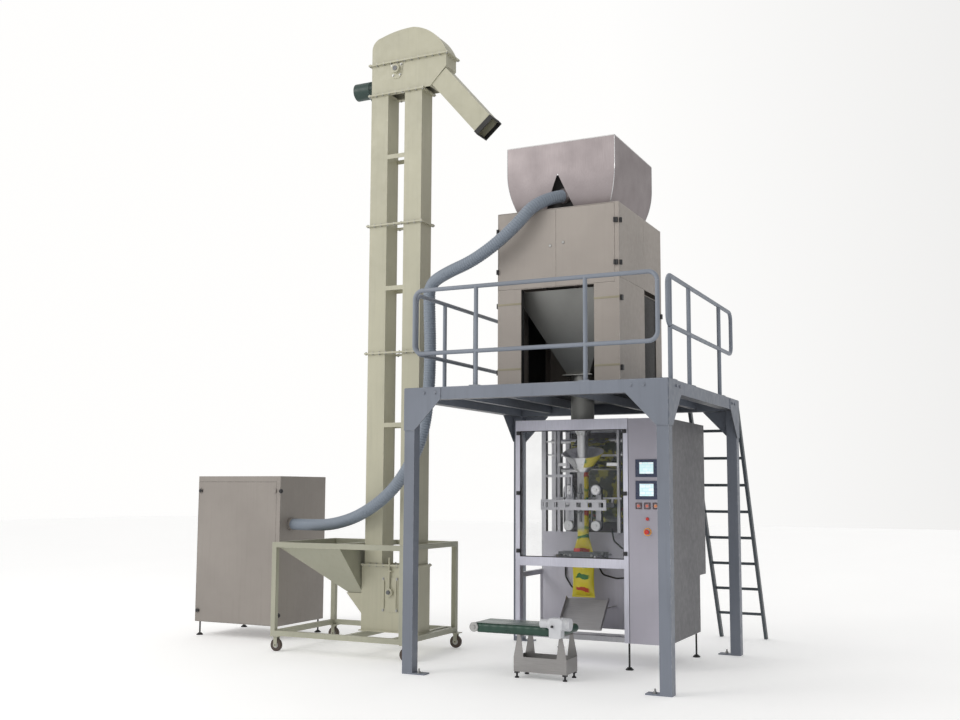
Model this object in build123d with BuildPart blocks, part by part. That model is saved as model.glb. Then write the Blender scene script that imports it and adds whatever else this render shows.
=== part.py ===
from build123d import *
from math import atan2, cos, radians, sin, tan
import os

# Vertical form fill seal packing line: a bucket elevator lifts the product into a supply hopper, a
# weigher on a steel platform doses it down a tube, and the bagging machine under the platform forms
# a film tube round that pipe, seals it and drops filled bags down a chute.  A dust cabinet draws
# air out of the hopper through one long hose, and a short belt takes the bags away.
# Millimetres.  Z is up, the operator's side is -Y, and the origin is on the floor at the centre of
# the line's outline.

os.makedirs("parts", exist_ok=True)

# ---------------------------------------------------------------- driving dimensions
sheet = 4.0                     # general sheet metal thickness
thin = 2.0                      # stainless sheet thickness
running_gap = 0.3               # radial gap between turning faces of different pieces
panel_gap = 3.0                 # gap round a door

# platform
platform_right = 2860.0
platform_front = -1870.0
platform_width = 2420.0
platform_depth = 2480.0
deck_height = 2500.0
deck_sheet = 5.0
leg_size = 100.0
leg_wall = 5.0
beam_height = 105.0
gusset_length = 360.0
gusset_drop = 375.0
gusset_sheet = 8.0
foot_plate_length = 220.0
foot_plate_sheet = 12.0
anchor_hole_radius = 9.0
anchor_inset = 160.0            # anchor hole from the leg's outer face, along X

# guard rails
rail_radius = 19.0
rail_bend = 80.0
rail_inset = 50.0
rail_top = deck_height + 885
rail_bottom = deck_height + 310

# product line, shared by weigher, discharge pipe and forming tube
line_x = platform_right - 1253
line_y = platform_front + 1395

# weigher
weigher_width = 1200.0
weigher_depth = 1300.0
weigher_top = deck_height + 1700
weigher_waist = deck_height + 960          # underside of the upper front doors
column_width = 240.0
side_column_depth = 743.0
side_gap_depth = 367.0
door_thickness = 20.0
hinge_stand_off = 13.0          # hinge axis in front of the face it serves
hinge_radius = 12.0
hinge_height = 44.0
left_door_corner = 8.0
throat_width = 760.0
throat_depth = 820.0

# supply hopper
hopper_width = 1082.0
hopper_depth = 1137.0
hopper_base_width = 900.0
hopper_base_depth = 960.0
hopper_height = 653.0
hopper_straight = 250.0
hopper_sheet = 3.0
notch_width = 310.0
notch_height = 355.0
notch_x = 1582.0

# collecting funnel and discharge pipe
funnel_mouth = 1000.0
funnel_outlet_height = deck_height + 200
pipe_radius = 112.0

# bagging machine
machine_left = line_x - 547
machine_right = line_x + 923
machine_front = line_y - 355
machine_rear = line_y + 985
machine_low_rear = line_y + 755
machine_step = 780.0
machine_base = 240.0
machine_top = 2250.0
pipe_end_height = machine_top + 18
electrical_width = 353.0
post_size = 45.0
door_depth = 30.0
stile_width = 45.0
crossbar_low = 895.0
crossbar_high = 977.0
glass_thickness = 6.0
glass_bottom = 990.0
wall_y = -270.0
wall_top = 1195.0

# forming and sealing
tube_radius = 52.0
tube_top = 2120.0
tube_bottom = 1230.0
film_gap = 1.5
film_sheet = 0.8
collar_height = 1770.0
bag_width = 230.0
bag_top = 948.0
bag_bottom = 590.0
bag_thickness = 76.0
jaw_height = 985.0
jaw_tall = 56.0
jaw_width = 300.0
jaw_deep = 46.0
jaw_gap = 1.5                   # half the gap between closed jaws, filled by the film
disc_x = 138.0                  # belt pulley centre from the tube's axis
disc_radius = 48.0
belt_low = 1263.0
belt_high = 1600.0
roll_radius = 165.0
roll_width = 480.0
roll_y = 250.0
roll_z = 1430.0
roller_rail_y = line_y + 315

# bag take-off conveyor
stand_left = 1395.0
stand_right = 1880.0
stand_front = -1615.0
stand_rear = -1360.0
belt_top = 452.0
belt_front = -1672.0
belt_rear = -1330.0
belt_left_x = 1045.0
belt_right_x = 1845.0
belt_roller = 33.0
belt_sheet = 3.0

# bucket elevator
elevator_left = -547.0
elevator_front = -920.0
leg_width = 200.0
leg_depth = 220.0
leg_gap = 198.0
leg_sheet = 4.0
elevator_foot = 205.0
boot_top = 845.0
splice_heights = (2960.0, 4280.0)
head_base = 5662.0
flange_sheet = 16.0
flange_rim = 28.0
pulley_radius = 165.0
boot_pulley_z = 593.0
head_pulley_z = 5917.0
head_split = 5990.0
elevator_top = 6345.0
spout_side = 215.0
spout_length = 777.0
spout_angle = 49.0
sleeve_length = 22.0

# elevator cart
cart_left = -1380.0
cart_right = 135.0
cart_front = -1323.0
cart_rear = -210.0
cart_top = 1070.0
cart_bar = 50.0
cart_floor = 155.0
wheel_radius = 62.0
wheel_width = 34.0

# dust cabinet
dust_left = -2863.0
dust_right = -1756.0
dust_front = -698.0
dust_rear = 155.0
dust_base = 150.0
dust_top = 1735.0

# suction hose: a free hose from the hopper's notch to the dust cabinet
hose_radius = 60.0
hose_wall = 3.0
hose_points = [
    (1648.0, -925.0, 4362.0),
    (1458.0, -1186.0, 4300.0),
    (1225.0, -1274.0, 4000.0),
    (855.0, -1272.0, 3755.0),
    (480.0, -1215.0, 3655.0),
    (268.0, -1120.0, 3580.0),
    (255.0, -1095.0, 3370.0),
    (264.0, -1080.0, 2960.0),
    (256.0, -1088.0, 2530.0),
    (215.0, -1105.0, 2150.0),
    (60.0, -1085.0, 1840.0),
    (-175.0, -1075.0, 1550.0),
    (-525.0, -1052.0, 1335.0),
    (-950.0, -895.0, 1238.0),
    (-1370.0, -650.0, 1222.0),
    (-1756.0, -492.0, 1221.0),
]

# ---------------------------------------------------------------- worked out from the above
platform_left = platform_right - platform_width
platform_rear = platform_front + platform_depth
deck_under = deck_height - deck_sheet
beam_low = deck_under - beam_height
weigher_left = line_x - weigher_width / 2
weigher_right = line_x + weigher_width / 2
weigher_front = line_y - weigher_depth / 2
weigher_rear = line_y + weigher_depth / 2
electrical_left = machine_right - electrical_width
elevator_right = elevator_left + 2 * leg_width + leg_gap
elevator_rear = elevator_front + leg_depth
elevator_x = (elevator_left + elevator_right) / 2
elevator_y = (elevator_front + elevator_rear) / 2


# ---------------------------------------------------------------- shapes used again and again
def block(x0, x1, y0, y1, z0, z1):
    """Plain rectangular piece between two corners."""
    with BuildPart() as piece:
        with BuildSketch(Plane.XY.offset(z0)):
            with Locations(((x0 + x1) / 2, (y0 + y1) / 2)):
                Rectangle(x1 - x0, y1 - y0)
        extrude(amount=z1 - z0)
    return piece.part


def square_tube(start, end, wide, deep, wall):
    """Hollow bar with its section centred on the line from start to end."""
    run = Vector(*end) - Vector(*start)
    side = Vector(0, 1, 0) if abs(run.Z) > abs(run.X) and abs(run.Z) > abs(run.Y) else Vector(0, 0, 1)
    with BuildPart() as piece:
        with BuildSketch(Plane(origin=start, x_dir=run.cross(side), z_dir=run)):
            Rectangle(wide, deep)
            Rectangle(wide - 2 * wall, deep - 2 * wall, mode=Mode.SUBTRACT)
        extrude(amount=run.length)
    return piece.part


def rod(start, end, radius, bore=0.0):
    """Round bar, or a tube where a bore is given."""
    run = Vector(*end) - Vector(*start)
    with BuildPart() as piece:
        with BuildSketch(Plane(origin=start, z_dir=run)):
            Circle(radius)
            if bore > 0:
                Circle(bore, mode=Mode.SUBTRACT)
        extrude(amount=run.length)
    return piece.part


def panel_xz(points, y0, y1):
    """Plate with its outline in the XZ plane, from y0 to y1."""
    with BuildPart() as piece:
        with BuildSketch(Plane.XZ.offset(-y0)):
            with BuildLine():
                Polyline(*points, close=True)
            make_face()
        extrude(amount=-(y1 - y0))
    return piece.part


def panel_yz(points, x0, x1):
    """Plate with its outline in the YZ plane, from x0 to x1."""
    with BuildPart() as piece:
        with BuildSketch(Plane.YZ.offset(x0)):
            with BuildLine():
                Polyline(*points, close=True)
            make_face()
        extrude(amount=x1 - x0)
    return piece.part


def folded_walls(low, high, wall):
    """Four mitred plates of a square chute between two rectangles, each (x0, x1, y0, y1, z)."""
    outlines = []
    for x0, x1, y0, y1, z in (low, high):
        outer = [(x0, y0), (x1, y0), (x1, y1), (x0, y1)]
        inner = [(x0 + wall, y0 + wall), (x1 - wall, y0 + wall), (x1 - wall, y1 - wall), (x0 + wall, y1 - wall)]
        outlines.append((z, outer, inner))
    plates = []
    for start in range(4):
        end = (start + 1) % 4
        with BuildPart() as plate:
            for z, outer, inner in outlines:
                with BuildSketch(Plane.XY.offset(z)):
                    with BuildLine():
                        Polyline(outer[start], outer[end], inner[end], inner[start], close=True)
                    make_face()
            loft(ruled=True)
        plates.append(plate.part)
    return plates


def sleeve_walls(plane, wide, deep, wall, length):
    """Four plates of a square tube that runs along a plane's own normal."""
    spots = [
        (0, (deep - wall) / 2, wide, wall),
        (0, -(deep - wall) / 2, wide, wall),
        ((wide - wall) / 2, 0, wall, deep - 2 * wall),
        (-(wide - wall) / 2, 0, wall, deep - 2 * wall),
    ]
    plates = []
    for x, y, across, along in spots:
        with BuildPart() as plate:
            with BuildSketch(plane):
                with Locations((x, y)):
                    Rectangle(across, along)
            extrude(amount=length)
        plates.append(plate.part)
    return plates


def save(name, pieces):
    """One named node, written as a group of its separate solids."""
    solids = []
    for piece in pieces:
        solids.extend(piece.solids())
    node = solids[0] if len(solids) == 1 else Compound(children=solids)
    node.label = name
    export_step(node, f"parts/{name}.step")
    print(name, len(solids), "solids")


# ---------------------------------------------------------------- platform
def platform_leg(x_side, y_side):
    """Leg with its foot plate, which reaches inwards along X and has the anchor hole."""
    x0 = platform_left if x_side < 0 else platform_right - leg_size
    y0 = platform_front if y_side < 0 else platform_rear - leg_size
    x_mid = x0 + leg_size / 2
    y_mid = y0 + leg_size / 2
    leg = square_tube((x_mid, y_mid, foot_plate_sheet), (x_mid, y_mid, deck_under),
                      leg_size, leg_size, leg_wall)
    outer = platform_left if x_side < 0 else platform_right
    plate_mid = outer - x_side * foot_plate_length / 2
    with BuildPart() as plate:
        with BuildSketch():
            with Locations((plate_mid, y_mid)):
                Rectangle(foot_plate_length, leg_size)
            with Locations((outer - x_side * anchor_inset, y_mid)):
                Circle(anchor_hole_radius, mode=Mode.SUBTRACT)
        extrude(amount=foot_plate_sheet)
    return [leg, plate.part]


def gusset_face(corner, inwards):
    """Outline of a corner plate, from the platform's corner along one face."""
    return [
        (corner, deck_under),
        (corner + inwards * gusset_length, deck_under),
        (corner + inwards * gusset_length, deck_under - beam_height),
        (corner + inwards * leg_size, deck_under - gusset_drop),
        (corner, deck_under - gusset_drop),
    ]


def hex_head(centre, direction, across=24.0, tall=10.0):
    """Bolt head standing on a face."""
    with BuildPart() as head:
        with BuildSketch(Plane(origin=centre, z_dir=direction)):
            RegularPolygon(across / 2, 6)
        extrude(amount=tall)
    return head.part


platform_pieces = []
for x_side in (-1, 1):
    for y_side in (-1, 1):
        platform_pieces += platform_leg(x_side, y_side)
beam_mid = beam_low + beam_height / 2
beam_inset = leg_size / 2
for y_beam in (platform_front + beam_inset, platform_rear - beam_inset):
    platform_pieces.append(square_tube((platform_left + leg_size, y_beam, beam_mid),
                                       (platform_right - leg_size, y_beam, beam_mid),
                                       leg_size, beam_height, leg_wall))
for x_beam in (platform_left + beam_inset, platform_right - beam_inset):
    platform_pieces.append(square_tube((x_beam, platform_front + leg_size, beam_mid),
                                       (x_beam, platform_rear - leg_size, beam_mid),
                                       leg_size, beam_height, leg_wall))
joist_height = 80.0
joist_width = 50.0
joist_mid = deck_under - joist_height / 2
for x_joist in (platform_left + 420.0, line_x - 300.0, line_x + 300.0, platform_right - 420.0):
    platform_pieces.append(square_tube((x_joist, platform_front + leg_size, joist_mid),
                                       (x_joist, platform_rear - leg_size, joist_mid),
                                       joist_width, joist_height, sheet))
bolt_insets = (200.0, 310.0)
bolt_drop = 45.0
for x_corner, x_in in ((platform_left, 1), (platform_right, -1)):
    for y_corner, y_in in ((platform_front, 1), (platform_rear, -1)):
        y_face = y_corner - y_in * gusset_sheet
        platform_pieces.append(panel_xz(gusset_face(x_corner, x_in),
                                        min(y_corner, y_face), max(y_corner, y_face)))
        x_face = x_corner - x_in * gusset_sheet
        platform_pieces.append(panel_yz(gusset_face(y_corner, y_in),
                                        min(x_corner, x_face), max(x_corner, x_face)))
        for inset in bolt_insets:
            platform_pieces.append(hex_head((x_corner + x_in * inset, y_face, deck_under - bolt_drop),
                                            (0, -y_in, 0)))
            platform_pieces.append(hex_head((x_face, y_corner + y_in * inset, deck_under - bolt_drop),
                                            (-x_in, 0, 0)))
save("platform_frame", platform_pieces)

with BuildPart() as deck_plate:
    with BuildSketch(Plane.XY.offset(deck_under)):
        with Locations(((platform_left + platform_right) / 2, (platform_front + platform_rear) / 2)):
            Rectangle(platform_width, platform_depth)
        with Locations((line_x, line_y)):
            Circle(pipe_radius + 25, mode=Mode.SUBTRACT)
    extrude(amount=deck_sheet)
save("deck_plate", [deck_plate.part])


# ---------------------------------------------------------------- guard rails
def rail_corner(corner, along_a, along_b):
    """Quarter bend between two rails that meet at right angles at a corner."""
    start = Vector(*corner) + Vector(*along_a) * rail_bend
    axis_dir = Vector(*along_a).cross(Vector(*along_b))
    centre = start + Vector(*along_b) * rail_bend
    with BuildPart() as bend:
        with BuildSketch(Plane(origin=start, z_dir=Vector(*along_a))):
            Circle(rail_radius)
            Circle(rail_radius - 2.5, mode=Mode.SUBTRACT)
        revolve(axis=Axis(centre, axis_dir), revolution_arc=-90)
    return bend.part


def rail_panel(origin, along, length, low, high, post_places):
    """Closed rounded loop of tube on posts, standing on the deck along one direction."""
    start = Vector(*origin)
    along = Vector(*along)
    up = Vector(0, 0, 1)

    def at(distance, height):
        return start + along * distance + up * (height - start.Z)

    bore = rail_radius - 2.5
    long_rails = [rod(at(rail_bend, height), at(length - rail_bend, height), rail_radius, bore)
                  for height in (low, high)]
    end_rails = [rod(at(distance, low + rail_bend), at(distance, high - rail_bend), rail_radius, bore)
                 for distance in (0, length)]
    back = along * -1
    down = up * -1
    bends = [
        rail_corner(at(0, low), along, up),
        rail_corner(at(length, low), back, up),
        rail_corner(at(0, high), along, down),
        rail_corner(at(length, high), back, down),
    ]
    posts = []
    for distance in post_places:
        with BuildPart() as post:
            add(rod(at(distance, deck_height), at(distance, high), rail_radius, bore))
            for height in (low, high):
                add(rod(at(distance - 60, height), at(distance + 60, height), rail_radius + 0.01),
                    mode=Mode.SUBTRACT)
        posts.append(post.part)
        with BuildPart() as shoe:
            with BuildSketch(Plane(origin=at(distance, deck_height), z_dir=(0, 0, 1))):
                Rectangle(90, 90)
                Circle(rail_radius, mode=Mode.SUBTRACT)
            extrude(amount=8)
        posts.append(shoe.part)
    return long_rails + end_rails + bends + posts


rail_pieces = rail_panel((platform_left + rail_inset + 13, platform_front + rail_inset, deck_height),
                         (1, 0, 0), platform_width - 157, rail_bottom, rail_top,
                         (617.0, 1637.0))
rail_pieces += rail_panel((platform_right - rail_inset, platform_front + 190, deck_height), (0, 1, 0),
                          platform_depth - 240, rail_bottom + 150, rail_top - 5,
                          (60.0, 650.0, 1740.0))
rail_pieces += rail_panel((platform_left + rail_inset, platform_front + 110, deck_height), (0, 1, 0),
                          platform_depth - 160, rail_bottom + 10, rail_top - 25,
                          (550.0, 1200.0, 1850.0))
save("guard_rails", rail_pieces)

# ---------------------------------------------------------------- access ladder
ladder_left = platform_right - 530.0
ladder_right = platform_right - 15.0
ladder_reach = 1300.0
stringer_width = 70.0
stringer_sheet = 30.0
ladder_foot_y = platform_rear + ladder_reach
rung_spacing = 276.0
rung_radius = 15.0
ladder_back = platform_rear + gusset_sheet
stringer_outline = [
    (ladder_back, deck_under),
    (ladder_back + stringer_width, deck_under),
    (ladder_foot_y, 0),
    (ladder_foot_y - stringer_width, 0),
]
ladder_pieces = [
    panel_yz(stringer_outline, ladder_left, ladder_left + stringer_sheet),
    panel_yz(stringer_outline, ladder_right - stringer_sheet, ladder_right),
    # packer behind the stringer that no gusset backs
    block(ladder_left, ladder_left + stringer_sheet, platform_rear, ladder_back, beam_low, deck_under),
]
for step in range(1, 9):
    rung_z = step * rung_spacing
    rung_y = ladder_foot_y - stringer_width / 2 - (ladder_reach - stringer_width) * rung_z / deck_under
    ladder_pieces.append(rod((ladder_left + stringer_sheet, rung_y, rung_z),
                             (ladder_right - stringer_sheet, rung_y, rung_z), rung_radius))
save("access_ladder", ladder_pieces)

# ---------------------------------------------------------------- weigher cabinet
front_in = weigher_front + sheet
rear_in = weigher_rear - sheet
left_in = weigher_left + sheet
right_in = weigher_right - sheet
gap_start = weigher_front + side_column_depth
gap_end = gap_start + side_gap_depth
gap_top = weigher_waist + 50
door_low = weigher_waist + 8
door_high = weigher_top - 8
right_corner = 42.0
top_in = weigher_top - sheet
return_depth = 60.0


def end_wall(y0, y1, inner_y, inwards):
    """Front or rear wall: two columns with inner returns, and the waist band above the opening."""
    walls = []
    for x_edge, side in ((weigher_left, 1), (weigher_right, -1)):
        x_inner = x_edge + side * column_width
        walls.append(block(min(x_edge, x_inner), max(x_edge, x_inner), y0, y1,
                           deck_height, weigher_waist))
        x_return = x_inner - side * sheet
        y_deep = inner_y + inwards * return_depth
        walls.append(block(min(x_inner, x_return), max(x_inner, x_return),
                           min(inner_y, y_deep), max(inner_y, y_deep), deck_height, weigher_waist))
    return walls


cabinet_pieces = end_wall(weigher_front, front_in, front_in, 1)
cabinet_pieces += end_wall(rear_in, weigher_rear, rear_in, -1)
# front face above the waist: sill, head and corner posts that the doors close between
cabinet_pieces.append(block(weigher_left, weigher_right, weigher_front, front_in + 20,
                            weigher_waist, door_low - panel_gap))
cabinet_pieces.append(block(weigher_left, weigher_right, weigher_front, front_in + 20,
                            door_high + panel_gap, weigher_top))
cabinet_pieces.append(block(weigher_right - right_corner + panel_gap, weigher_right,
                            weigher_front, front_in + 20, door_low - panel_gap, door_high + panel_gap))
cabinet_pieces.append(block(weigher_left, weigher_left + left_door_corner - panel_gap,
                            weigher_front, front_in + 20, door_low - panel_gap, door_high + panel_gap))
# closed rear face: one sheet between the columns below the waist, and one sheet above it
cabinet_pieces.append(block(weigher_left + column_width, weigher_right - column_width, rear_in, weigher_rear,
                            deck_height, weigher_waist))
cabinet_pieces.append(block(weigher_left, weigher_right, rear_in, weigher_rear,
                            weigher_waist, weigher_top))
# left and right walls, each with a tall gap near the rear
for x0, x1 in ((weigher_left, left_in), (right_in, weigher_right)):
    is_right = x1 == weigher_right
    cabinet_pieces.append(block(x0, x1, gap_end, rear_in, deck_height, gap_top))
    cabinet_pieces.append(block(x0, x1, front_in, gap_start, deck_height, weigher_waist))
    if is_right:
        cabinet_pieces.append(block(x0, x1, front_in + 20, gap_start, weigher_waist, gap_top))
        cabinet_pieces.append(block(x0, x1, gap_start, rear_in, gap_top, top_in))
    else:
        cabinet_pieces.append(block(x0, x1, front_in + 20, gap_start, weigher_waist, gap_top))
        cabinet_pieces.append(block(x0, x1, front_in + 20, rear_in, gap_top, top_in))
# top plate with the throat that the hopper empties through
throat_x0 = line_x - throat_width / 2
throat_x1 = line_x + throat_width / 2
throat_y0 = line_y - throat_depth / 2
throat_y1 = line_y + throat_depth / 2
cabinet_pieces.append(block(left_in, throat_x0, front_in + 20, rear_in, top_in, weigher_top))
cabinet_pieces.append(block(throat_x1, right_in, front_in + 20, rear_in, top_in, weigher_top))
cabinet_pieces.append(block(throat_x0, throat_x1, front_in + 20, throat_y0, top_in, weigher_top))
cabinet_pieces.append(block(throat_x0, throat_x1, throat_y1, rear_in, top_in, weigher_top))
# ledges that the funnel hangs from
ledge_x0 = line_x - funnel_mouth / 2
ledge_x1 = line_x + funnel_mouth / 2
cabinet_pieces.append(block(left_in, ledge_x0, front_in + 20, rear_in, weigher_waist, weigher_waist + sheet))
cabinet_pieces.append(block(ledge_x1, right_in, front_in + 20, rear_in, weigher_waist,
                            weigher_waist + sheet))
save("weigher_cabinet", cabinet_pieces)

# ---------------------------------------------------------------- weigher doors
door_split = weigher_left + 590.0
door_back = weigher_front + door_thickness
door_lip = 14.0


def tray_door(x0, x1, y0, y1, z0, z1, skin=2.0):
    """Front door folded like a tray: a flat skin with a rim round its inside."""
    with BuildPart() as door:
        with BuildSketch(Plane.XZ.offset(-y0)):
            with Locations(((x0 + x1) / 2, (z0 + z1) / 2)):
                Rectangle(x1 - x0, z1 - z0)
        extrude(amount=-(y1 - y0))
        with BuildSketch(Plane.XZ.offset(-(y0 + skin))):
            with Locations(((x0 + x1) / 2, (z0 + z1) / 2)):
                Rectangle(x1 - x0 - 2 * door_lip, z1 - z0 - 2 * door_lip)
        extrude(amount=-(y1 - y0), mode=Mode.SUBTRACT)
    return door.part


save("weigher_door_left", [tray_door(weigher_left + left_door_corner, door_split - panel_gap / 2,
                                     weigher_front, door_back, door_low, door_high)])
save("weigher_door_right", [tray_door(door_split + panel_gap / 2, weigher_right - right_corner,
                                      weigher_front, door_back, door_low, door_high)])
side_door_front = weigher_front + door_thickness + 8
side_door_rear = gap_start - panel_gap
side_door_low = gap_top + panel_gap
side_door_high = top_in - panel_gap
with BuildPart() as weigher_side_door:
    add(block(weigher_right - door_thickness, weigher_right, side_door_front, side_door_rear,
              side_door_low, side_door_high))
    add(block(weigher_right - door_thickness, weigher_right - thin, side_door_front + door_lip,
              side_door_rear - door_lip, side_door_low + door_lip, side_door_high - door_lip),
        mode=Mode.SUBTRACT)
save("weigher_side_door", [weigher_side_door.part])

# black corner hinges: a barrel on the hinge line, with a bracket back to the cabinet
front_axis_y = weigher_front - hinge_stand_off
side_axis_x = weigher_right + hinge_stand_off
side_axis_y = side_door_front - 6
left_axis_x = weigher_left + left_door_corner - 6
right_axis_x = weigher_right - right_corner + 6
bracket_sheet = 6.0


def hinge(x_axis, y_axis, z_mid, x0, x1, y0, y1):
    """Barrel on a vertical hinge line, joined to a bracket that reaches the cabinet."""
    z0 = z_mid - hinge_height / 2
    with BuildPart() as knuckle:
        add(rod((x_axis, y_axis, z0), (x_axis, y_axis, z0 + hinge_height), hinge_radius))
        add(block(x0, x1, y0, y1, z0, z0 + hinge_height))
    return knuckle.part


hinge_pieces = []
for z_mid in (weigher_top - 172, weigher_waist + 180):
    hinge_pieces.append(hinge(left_axis_x, front_axis_y, z_mid, weigher_left - bracket_sheet, weigher_left,
                              front_axis_y, weigher_front + 34))
    hinge_pieces.append(hinge(right_axis_x, front_axis_y, z_mid, right_axis_x + 4, right_axis_x + 28,
                              front_axis_y - bracket_sheet, weigher_front))
    hinge_pieces.append(hinge(side_axis_x, side_axis_y, z_mid, weigher_right, side_axis_x,
                              side_axis_y - hinge_radius, side_axis_y - hinge_radius + bracket_sheet))
# fixed latches on the columns under the doors
for z_mid in (weigher_waist - 138, deck_height + 190):
    for y_mid in (weigher_front + 20, weigher_rear - 60):
        for x0 in (weigher_left - 22, weigher_right):
            hinge_pieces.append(block(x0, x0 + 22, y_mid, y_mid + 36, z_mid - 24, z_mid + 24))
save("cabinet_hinges", hinge_pieces)


# ---------------------------------------------------------------- supply hopper
def hopper_profile(plane, top_half, base_half, inset):
    """Half-width outline: straight sides at the top, then an arc in to the base."""
    bend_z = weigher_top + hopper_height - hopper_straight
    high = weigher_top + hopper_height + (1 if inset else 0)
    low = weigher_top - (1 if inset else 0)
    with BuildSketch(plane) as face:
        with BuildLine():
            right = Line((top_half - inset, high), (top_half - inset, bend_z))
            arc = TangentArc(right @ 1, (base_half - inset, low), tangent=(0, -1))
            Line(arc @ 1, (-(base_half - inset), low))
            left = Line((-(top_half - inset), high), (-(top_half - inset), bend_z))
            TangentArc(left @ 1, (-(base_half - inset), low), tangent=(0, -1))
            Line(left @ 0, right @ 0)
        make_face()
    return face.sketch


def hopper_solid(inset):
    """Body whose front view and side view both have the hopper's outline."""
    front = Plane(origin=(line_x, line_y, 0), x_dir=(1, 0, 0), z_dir=(0, -1, 0))
    side = Plane(origin=(line_x, line_y, 0), x_dir=(0, 1, 0), z_dir=(1, 0, 0))
    with BuildPart() as body:
        extrude(hopper_profile(front, hopper_width / 2, hopper_base_width / 2, inset),
                amount=hopper_depth, both=True)
        extrude(hopper_profile(side, hopper_depth / 2, hopper_base_depth / 2, inset),
                amount=hopper_width, both=True, mode=Mode.INTERSECT)
    return body.part


with BuildPart() as supply_hopper:
    add(hopper_solid(0))
    add(hopper_solid(hopper_sheet), mode=Mode.SUBTRACT)
    with BuildSketch(Plane.XZ.offset(-(line_y - hopper_depth / 2 - 10))):
        with BuildLine():
            Polyline((notch_x - notch_width / 2, weigher_top), (notch_x, weigher_top + notch_height),
                     (notch_x + notch_width / 2, weigher_top), close=True)
        make_face()
    extrude(amount=-150, mode=Mode.SUBTRACT)

# suction port: a collar on the hose's line, on a closed box behind the notch
hose_start = Vector(*hose_points[0])
hose_out = (Vector(*hose_points[1]) - hose_start).normalized()
hose_end = Vector(*hose_points[-1])
hose_back = (Vector(*hose_points[-2]) - hose_end).normalized()
collar_wall = 8.0
collar_long = 70.0
start_collar = rod(hose_start, hose_start + hose_out * collar_long,
                   hose_radius + running_gap + collar_wall, hose_radius + running_gap)
port_back = rod(hose_start - hose_out * 30, hose_start, hose_radius + running_gap + collar_wall)
save("supply_hopper", [supply_hopper.part, start_collar, port_back])

# ---------------------------------------------------------------- weigh buckets and their flaps
bucket_side = 260.0
bucket_low = weigher_waist + 120
bucket_high = weigher_waist + 440
bucket_x = 210.0                # bucket centre from the line's axis
flap_axis_z = bucket_low - 10
flap_radius = 8.0
flap_notch = 14.0               # the flap is cut back this far beside the ears
weigh_pieces = [square_tube((left_in, line_y + 170, bucket_high + 30),
                            (right_in, line_y + 170, bucket_high + 30), 50, 50, sheet)]
for side in (-1, 1):
    x_mid = line_x + side * bucket_x
    weigh_pieces += sleeve_walls(Plane(origin=(x_mid, line_y, bucket_low), z_dir=(0, 0, 1)),
                                 bucket_side, bucket_side, thin, bucket_high - bucket_low)
    weigh_pieces.append(block(x_mid - 20, x_mid + 20, line_y + bucket_side / 2, line_y + 145,
                              bucket_high - 80, bucket_high + 30))
    outer = x_mid + side * (bucket_side / 2)
    for y_end in (-1, 1):
        y_ear = line_y + y_end * (bucket_side / 2 - 12)
        with BuildPart() as ear:
            add(block(min(outer, outer + side * 30), max(outer, outer + side * 30),
                      y_ear - 4, y_ear + 4, flap_axis_z - 14, bucket_low + 60))
            add(rod((outer + side * 14, y_ear - 10, flap_axis_z), (outer + side * 14, y_ear + 10, flap_axis_z),
                    flap_radius - 2 + 0.05), mode=Mode.SUBTRACT)
        weigh_pieces.append(ear.part)
save("weigh_buckets", weigh_pieces)
for name, side in (("bucket_flap_left", -1), ("bucket_flap_right", 1)):
    x_mid = line_x + side * bucket_x
    axis_x = x_mid + side * (bucket_side / 2 + 14)
    x_far = x_mid - side * bucket_side / 2
    flap_pin = rod((axis_x, line_y - bucket_side / 2, flap_axis_z),
                   (axis_x, line_y + bucket_side / 2, flap_axis_z), flap_radius - 2)
    near = x_mid + side * (bucket_side / 2 - 2)
    step_x = near - side * flap_notch
    tongue_half = bucket_side / 2 - 18
    flap_plate = block(min(step_x, x_far), max(step_x, x_far), line_y - bucket_side / 2,
                       line_y + bucket_side / 2, flap_axis_z, flap_axis_z + 8)
    flap_tongue = block(min(near, step_x), max(near, step_x), line_y - tongue_half, line_y + tongue_half,
                        flap_axis_z, flap_axis_z + 8)
    arm = block(min(axis_x - side * 5, near), max(axis_x - side * 5, near),
                line_y - 60, line_y + 60, flap_axis_z - 4, flap_axis_z + 4)
    with BuildPart() as flap:
        add(arm)
        add(flap_plate)
        add(flap_tongue)
        add(flap_pin)
    save(name, [flap.part])

# ---------------------------------------------------------------- collecting funnel and pipe
funnel_walls = folded_walls(
    (line_x - pipe_radius, line_x + pipe_radius, line_y - pipe_radius, line_y + pipe_radius, funnel_outlet_height),
    (line_x - funnel_mouth / 2, line_x + funnel_mouth / 2, line_y - funnel_mouth / 2, line_y + funnel_mouth / 2,
     weigher_waist),
    thin)
pipe_flange = 150.0
with BuildPart() as funnel_flange:
    with BuildSketch(Plane.XY.offset(funnel_outlet_height - 8)):
        with Locations((line_x, line_y)):
            Rectangle(2 * pipe_flange, 2 * pipe_flange)
            Circle(pipe_radius - thin, mode=Mode.SUBTRACT)
    extrude(amount=8)
pipe = rod((line_x, line_y, pipe_end_height), (line_x, line_y, funnel_outlet_height - 8),
           pipe_radius, pipe_radius - thin)
save("collecting_funnel", funnel_walls + [funnel_flange.part, pipe])

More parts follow.
